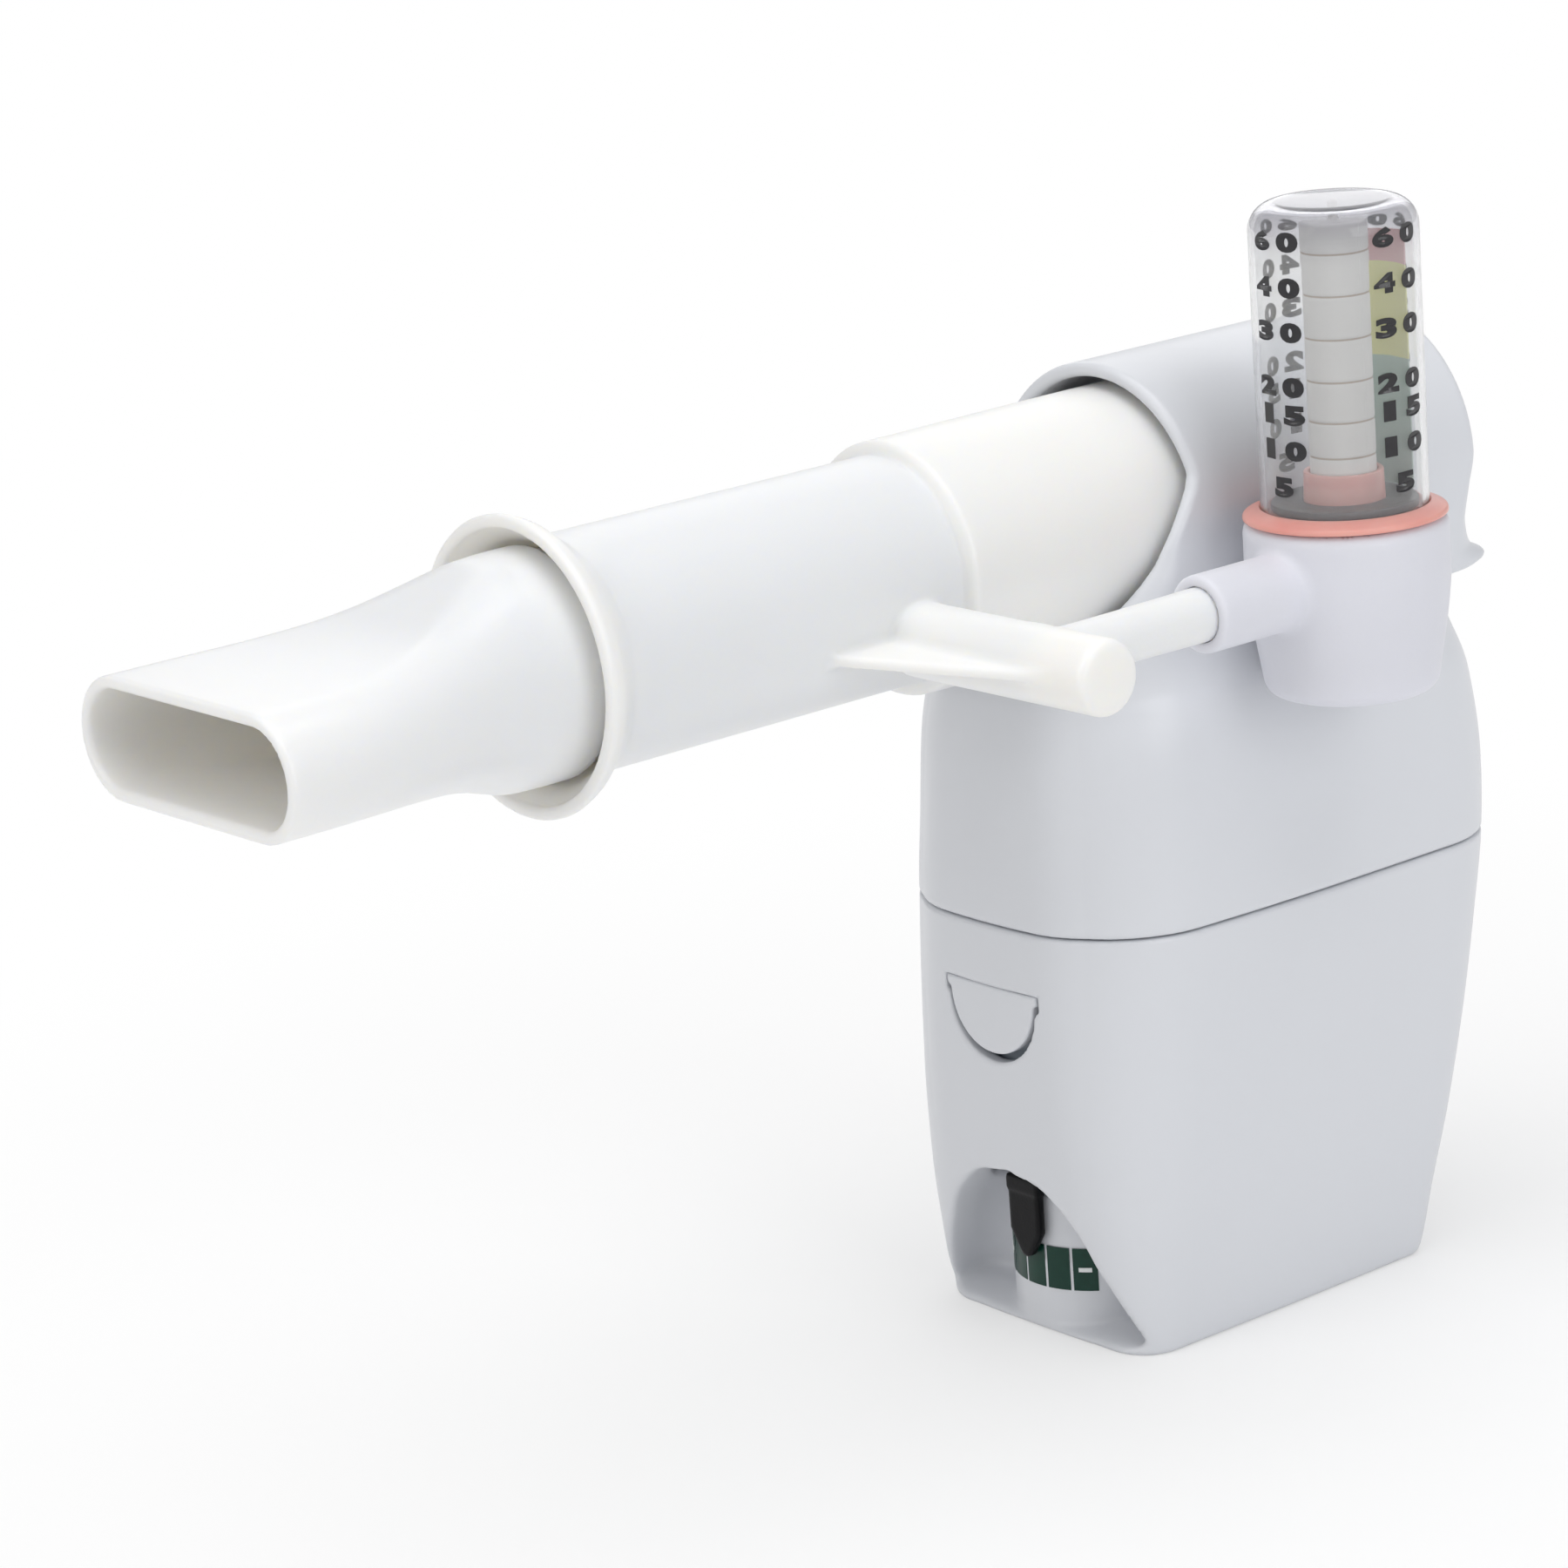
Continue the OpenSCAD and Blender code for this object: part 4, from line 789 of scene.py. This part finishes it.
def wound_spring(name, low, high, steps=24, sides=8):
    """Mesh of a round wire wound about the gauge axis, with a flat dead turn at both ends."""
    points, faces = [], []
    count = turns * steps
    for i in range(count + 1):
        a = 2 * math.pi * i / steps
        share = min(max((i / steps - 1) / (turns - 2), 0), 1)
        dead = (min(i / steps, 1) - 1 + max(i / steps - turns + 1, 0)) * wire_r
        z = low + wire_r + (high - low - 2 * wire_r) * share + dead
        z = min(max(z, low + wire_r), high - wire_r)
        for k in range(sides):
            b = 2 * math.pi * k / sides
            r = coil_r + wire_r * math.cos(b)
            points.append(round_point(gauge_axis, r, a, z + wire_r * math.sin(b)))
    for i, k in itertools.product(range(count), range(sides)):
        l = (k + 1) % sides
        faces.append((i * sides + k, (i + 1) * sides + k, (i + 1) * sides + l, i * sides + l))
    faces += [tuple(range(sides)), tuple(count * sides + k for k in reversed(range(sides)))]
    mesh = bpy.data.meshes.new(name)
    mesh.from_pydata(points, [], faces)
    mesh.shade_smooth()
    return mesh


steel = Paint("drawn_steel", (0.6, 0.61, 0.63), Metallic=1.0)
steel.feed(Roughness=0.22 + steel.noise(1500, 3, (1, 1, 6)) * 0.2)
steel.grain(0.00002, 0.4, 4000, 2, (1, 1, 8))
spring_mesh = wound_spring("return_spring", spring_foot, spring_top)
spring = put("return_spring", spring_mesh, steel, "gauge", ["gauge_spring"])
spring_top * mm
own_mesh(spring)


# Scale: a printed film behind the column, green for the working range, then yellow and
# red, and black pressure numbers printed on the dome in four columns.

def arc_plate(name, centre, inner, outer, spans, low, high, steps=28):
    """Thin curved plates about an upright axis, one for each span of angles in degrees."""
    points, faces = [], []
    for start, end in spans:
        base = len(points)
        for i in range(steps + 1):
            a = math.radians(start + (end - start) * i / steps)
            for r, z in ((inner, low), (outer, low), (outer, high), (inner, high)):
                points.append(round_point(centre, r, a, z))
        for i, k in itertools.product(range(steps), range(4)):
            l = (k + 1) % 4
            faces.append((base + i * 4 + k, base + i * 4 + 4 + k, base + i * 4 + 4 + l, base + i * 4 + l))
        faces.append(tuple(base + k for k in range(4)))
        faces.append(tuple(base + steps * 4 + k for k in reversed(range(4))))
    mesh = bpy.data.meshes.new(name)
    mesh.from_pydata(points, [], faces)
    return mesh


film_in, film_out, film_span, film_low, film_high = 8.1, 8.28, (157, 213), 94.6, 122.2
yellow_from, red_from = 0.1085, 0.1187
film_green, film_yellow, film_red = (0.30, 0.46, 0.37), (0.78, 0.78, 0.24), (0.74, 0.38, 0.38)
film = Paint("printed_film", Roughness=0.45)
film_level = film.height() + (film.noise(300, 2) - 0.5) * 0.0004
ink = film.mix(film_level > yellow_from, film_green, film_yellow)
ink = film.mix(film_level > red_from, ink, film_red)
film.feed(Base_Color=film.mix(film.noise(90, 4) * 0.25, ink, (0.8, 0.8, 0.78)))
film_mesh = arc_plate("colour_scale_film", gauge_axis, film_in, film_out, [film_span], film_low, film_high)
put("colour_scale_film", film_mesh, film, "gauge", ["colour_strip"])

number_heights = ((60, 123.5), (40, 118.7), (30, 114.0), (20, 108.2), (15, 105.2), (10, 101.4), (5, 97.4))
digit_wide, digit_tall, digit_step, digit_lift, digit_relief = 2.9, 2.15, 23.0, 0.05, 2
digit_fill, narrow_one, least_width = 0.92, 0.6, 0.3


def digit_mesh(character):
    """Flat mesh of one numeral, one unit high and centred, with a little thickness."""
    font = bpy.data.curves.new("numeral", "FONT")
    font.body = character
    font.offset = 0.07
    font.extrude = 0.01
    font.resolution_u = 4
    font.align_x = "CENTER"
    source = bpy.data.objects.new("numeral", font)
    scene.collection.objects.link(source)
    bpy.context.view_layer.update()
    mesh = bpy.data.meshes.new_from_object(source.evaluated_get(bpy.context.evaluated_depsgraph_get()))
    bpy.data.objects.remove(source)
    co = np.array([v.co for v in mesh.vertices])
    low, high = co.min(0), co.max(0)
    co[:, :2] = (co[:, :2] - (low[:2] + high[:2]) / 2) / (high[1] - low[1])
    return co, [tuple(p.vertices) for p in mesh.polygons]


numerals = {c: digit_mesh(c) for c in "0123456"}
ink_points, ink_faces = [], []
for column, (value, z) in itertools.product((0, 90, 180, 270), number_heights):
    for i, character in enumerate(str(value)):
        co, polygons = numerals[character]
        at = math.radians(column + digit_step * (i - (len(str(value)) - 1) / 2))
        narrow = narrow_one if character == "1" else 1.0
        wide = digit_wide * narrow / max(np.ptp(co[:, 0]), least_width) * digit_fill
        base = len(ink_points)
        for u, v, w in co:
            a = at + u * wide / dome_r
            r = dome_r + digit_lift + w * digit_relief
            ink_points.append(round_point(gauge_axis, r, a, z + v * digit_tall))
        ink_faces += [tuple(base + k for k in polygon) for polygon in polygons]
ink_mesh = bpy.data.meshes.new("scale_numbers")
ink_mesh.from_pydata(ink_points, [], ink_faces)
black_ink = Paint("black_print", Roughness=0.35)
black_ink.mottle((0.008, 0.008, 0.01), (0.02, 0.018, 0.022), 800, 3)
put("scale_numbers", ink_mesh, black_ink, "gauge", ())


# Resistance lever and scale: a black lever sweeps in front of a drum face. The green
# band on the drum has five printed steps with a minus and a plus at its ends.

lever_z, lever_top, lever_hub_r, lever_half_w = drum_top + 0.3, drum_top + 2.0, 5.2, 2.4
pointer_in, pointer_out, pointer_foot = 9.9, 11.1, 8.85
pointer_line = ([8.85, 9.3, 11.9, 18], [0.55, 0.85, 2.4, 2.45])


def lever_depth(x, y, z):
    u = x - drum_x
    at_drum = (drum_x, 0, 0)
    hub = tube_along(2, x, y, z, at_drum, lever_hub_r, lever_z, lever_top, 0.3)
    arm = slab(u, y, z, (0, -lever_half_w, lever_z), (pointer_out, lever_half_w, lever_top), 0.4)
    half = np.interp(z, *pointer_line)
    drop = both(np.abs(y) - half, np.maximum(pointer_foot - z, z - (lever_top - 0.3)), 0.5)
    drop = both(drop, np.maximum(pointer_in - u, u - pointer_out), 0.4)
    hole = tube_along(2, x, y, z, at_drum, post_r + 0.05, 0, 30, 0.1)
    return without(either(either(hub, arm, 0.5), drop, 0.6), hole, 0.2)


jet_black = Paint("jet_black_plastic", Roughness=0.3, Specular_IOR_Level=0.15)
jet_black.mottle((0.002, 0.002, 0.003), (0.006, 0.006, 0.007), 300, 3)
jet_black.grain(0.00003, 0.5, 3500, 3)
lever_mesh = moulded("resistance_lever", lever_depth, (8.6, -5.5, 8.2), (25.6, 5.5, 18.7), 0.24 * coarse)
put("resistance_lever", lever_mesh, jet_black, "dial", ["adjust_lever"])

band_low, band_high, step_angle, gap_angle = 5.2, 10.2, 19.0, 2.2
print_r, sign_r = drum_r + 0.07, drum_r + 0.12
spans = [(step_angle * (i - 2.5) + gap_angle / 2, step_angle * (i - 1.5) - gap_angle / 2) for i in range(5)]
band_green = Paint("green_print", Roughness=0.28, Specular_IOR_Level=0.3)
band_green.mottle((0.0, 0.028, 0.018), (0.002, 0.045, 0.028), 500, 3)
band_mesh = arc_plate("scale_band_print", (drum_x, 0), drum_r, print_r, spans, band_low, band_high, 8)
put("scale_band_print", band_mesh, band_green, "lower_shell", ["scale_band"])
white_ink = Paint("white_print", Roughness=0.4)
white_ink.mottle((0.78, 0.8, 0.8), (0.86, 0.88, 0.88), 500, 3)
sign_z, sign_angle = (band_low + band_high) / 2, 38.0
for name, at, half_angle, half_tall, steps in (
    ("minus_sign", sign_angle, 4.5, 0.25, 6),
    ("plus_sign", -sign_angle, 4.5, 0.25, 6),
    ("plus_stroke", -sign_angle, 1.5, 0.8, 4),
):
    span = (at - half_angle, at + half_angle)
    low, high = sign_z - half_tall, sign_z + half_tall
    sign = arc_plate(name, (drum_x, 0), print_r, sign_r, [span], low, high, steps)
    put(name, sign, white_ink, "lower_shell", ())


# Valve parts inside the case: the insert, nozzle, shutter, shaft, vane and restrictor keep
# their CAD forms, moulded in pale engineering plastics, silicone and ground steel.

pale_blue = white_plastic("pale_blue_plastic", (0.60, 0.68, 0.76), 0.42)
acetal = white_plastic("acetal", (0.76, 0.75, 0.70), 0.38)
blue_silicone = Paint("blue_silicone", Roughness=0.5, IOR=1.41)
blue_silicone.mottle((0.26, 0.42, 0.58), (0.34, 0.50, 0.66), 200, 3)
blue_silicone.grain(0.00004, 0.5, 1800, 3)
for paint, names in (
    (pale_blue, ("valve_insert", "port_grille")),
    (acetal, ("lower_bushing", "upper_bushing", "valve_vane", "restrictor_disc", "gauge_plunger")),
    (blue_silicone, ("variable_nozzle", "case_gasket", "inhalation_flap")),
    (matt_black, ("shutter_disc",)),
    (steel, ("valve_shaft", "flap_pin")),
):
    for name in names:
        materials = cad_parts[name].data.materials
        materials.clear()
        materials.append(paint.material)
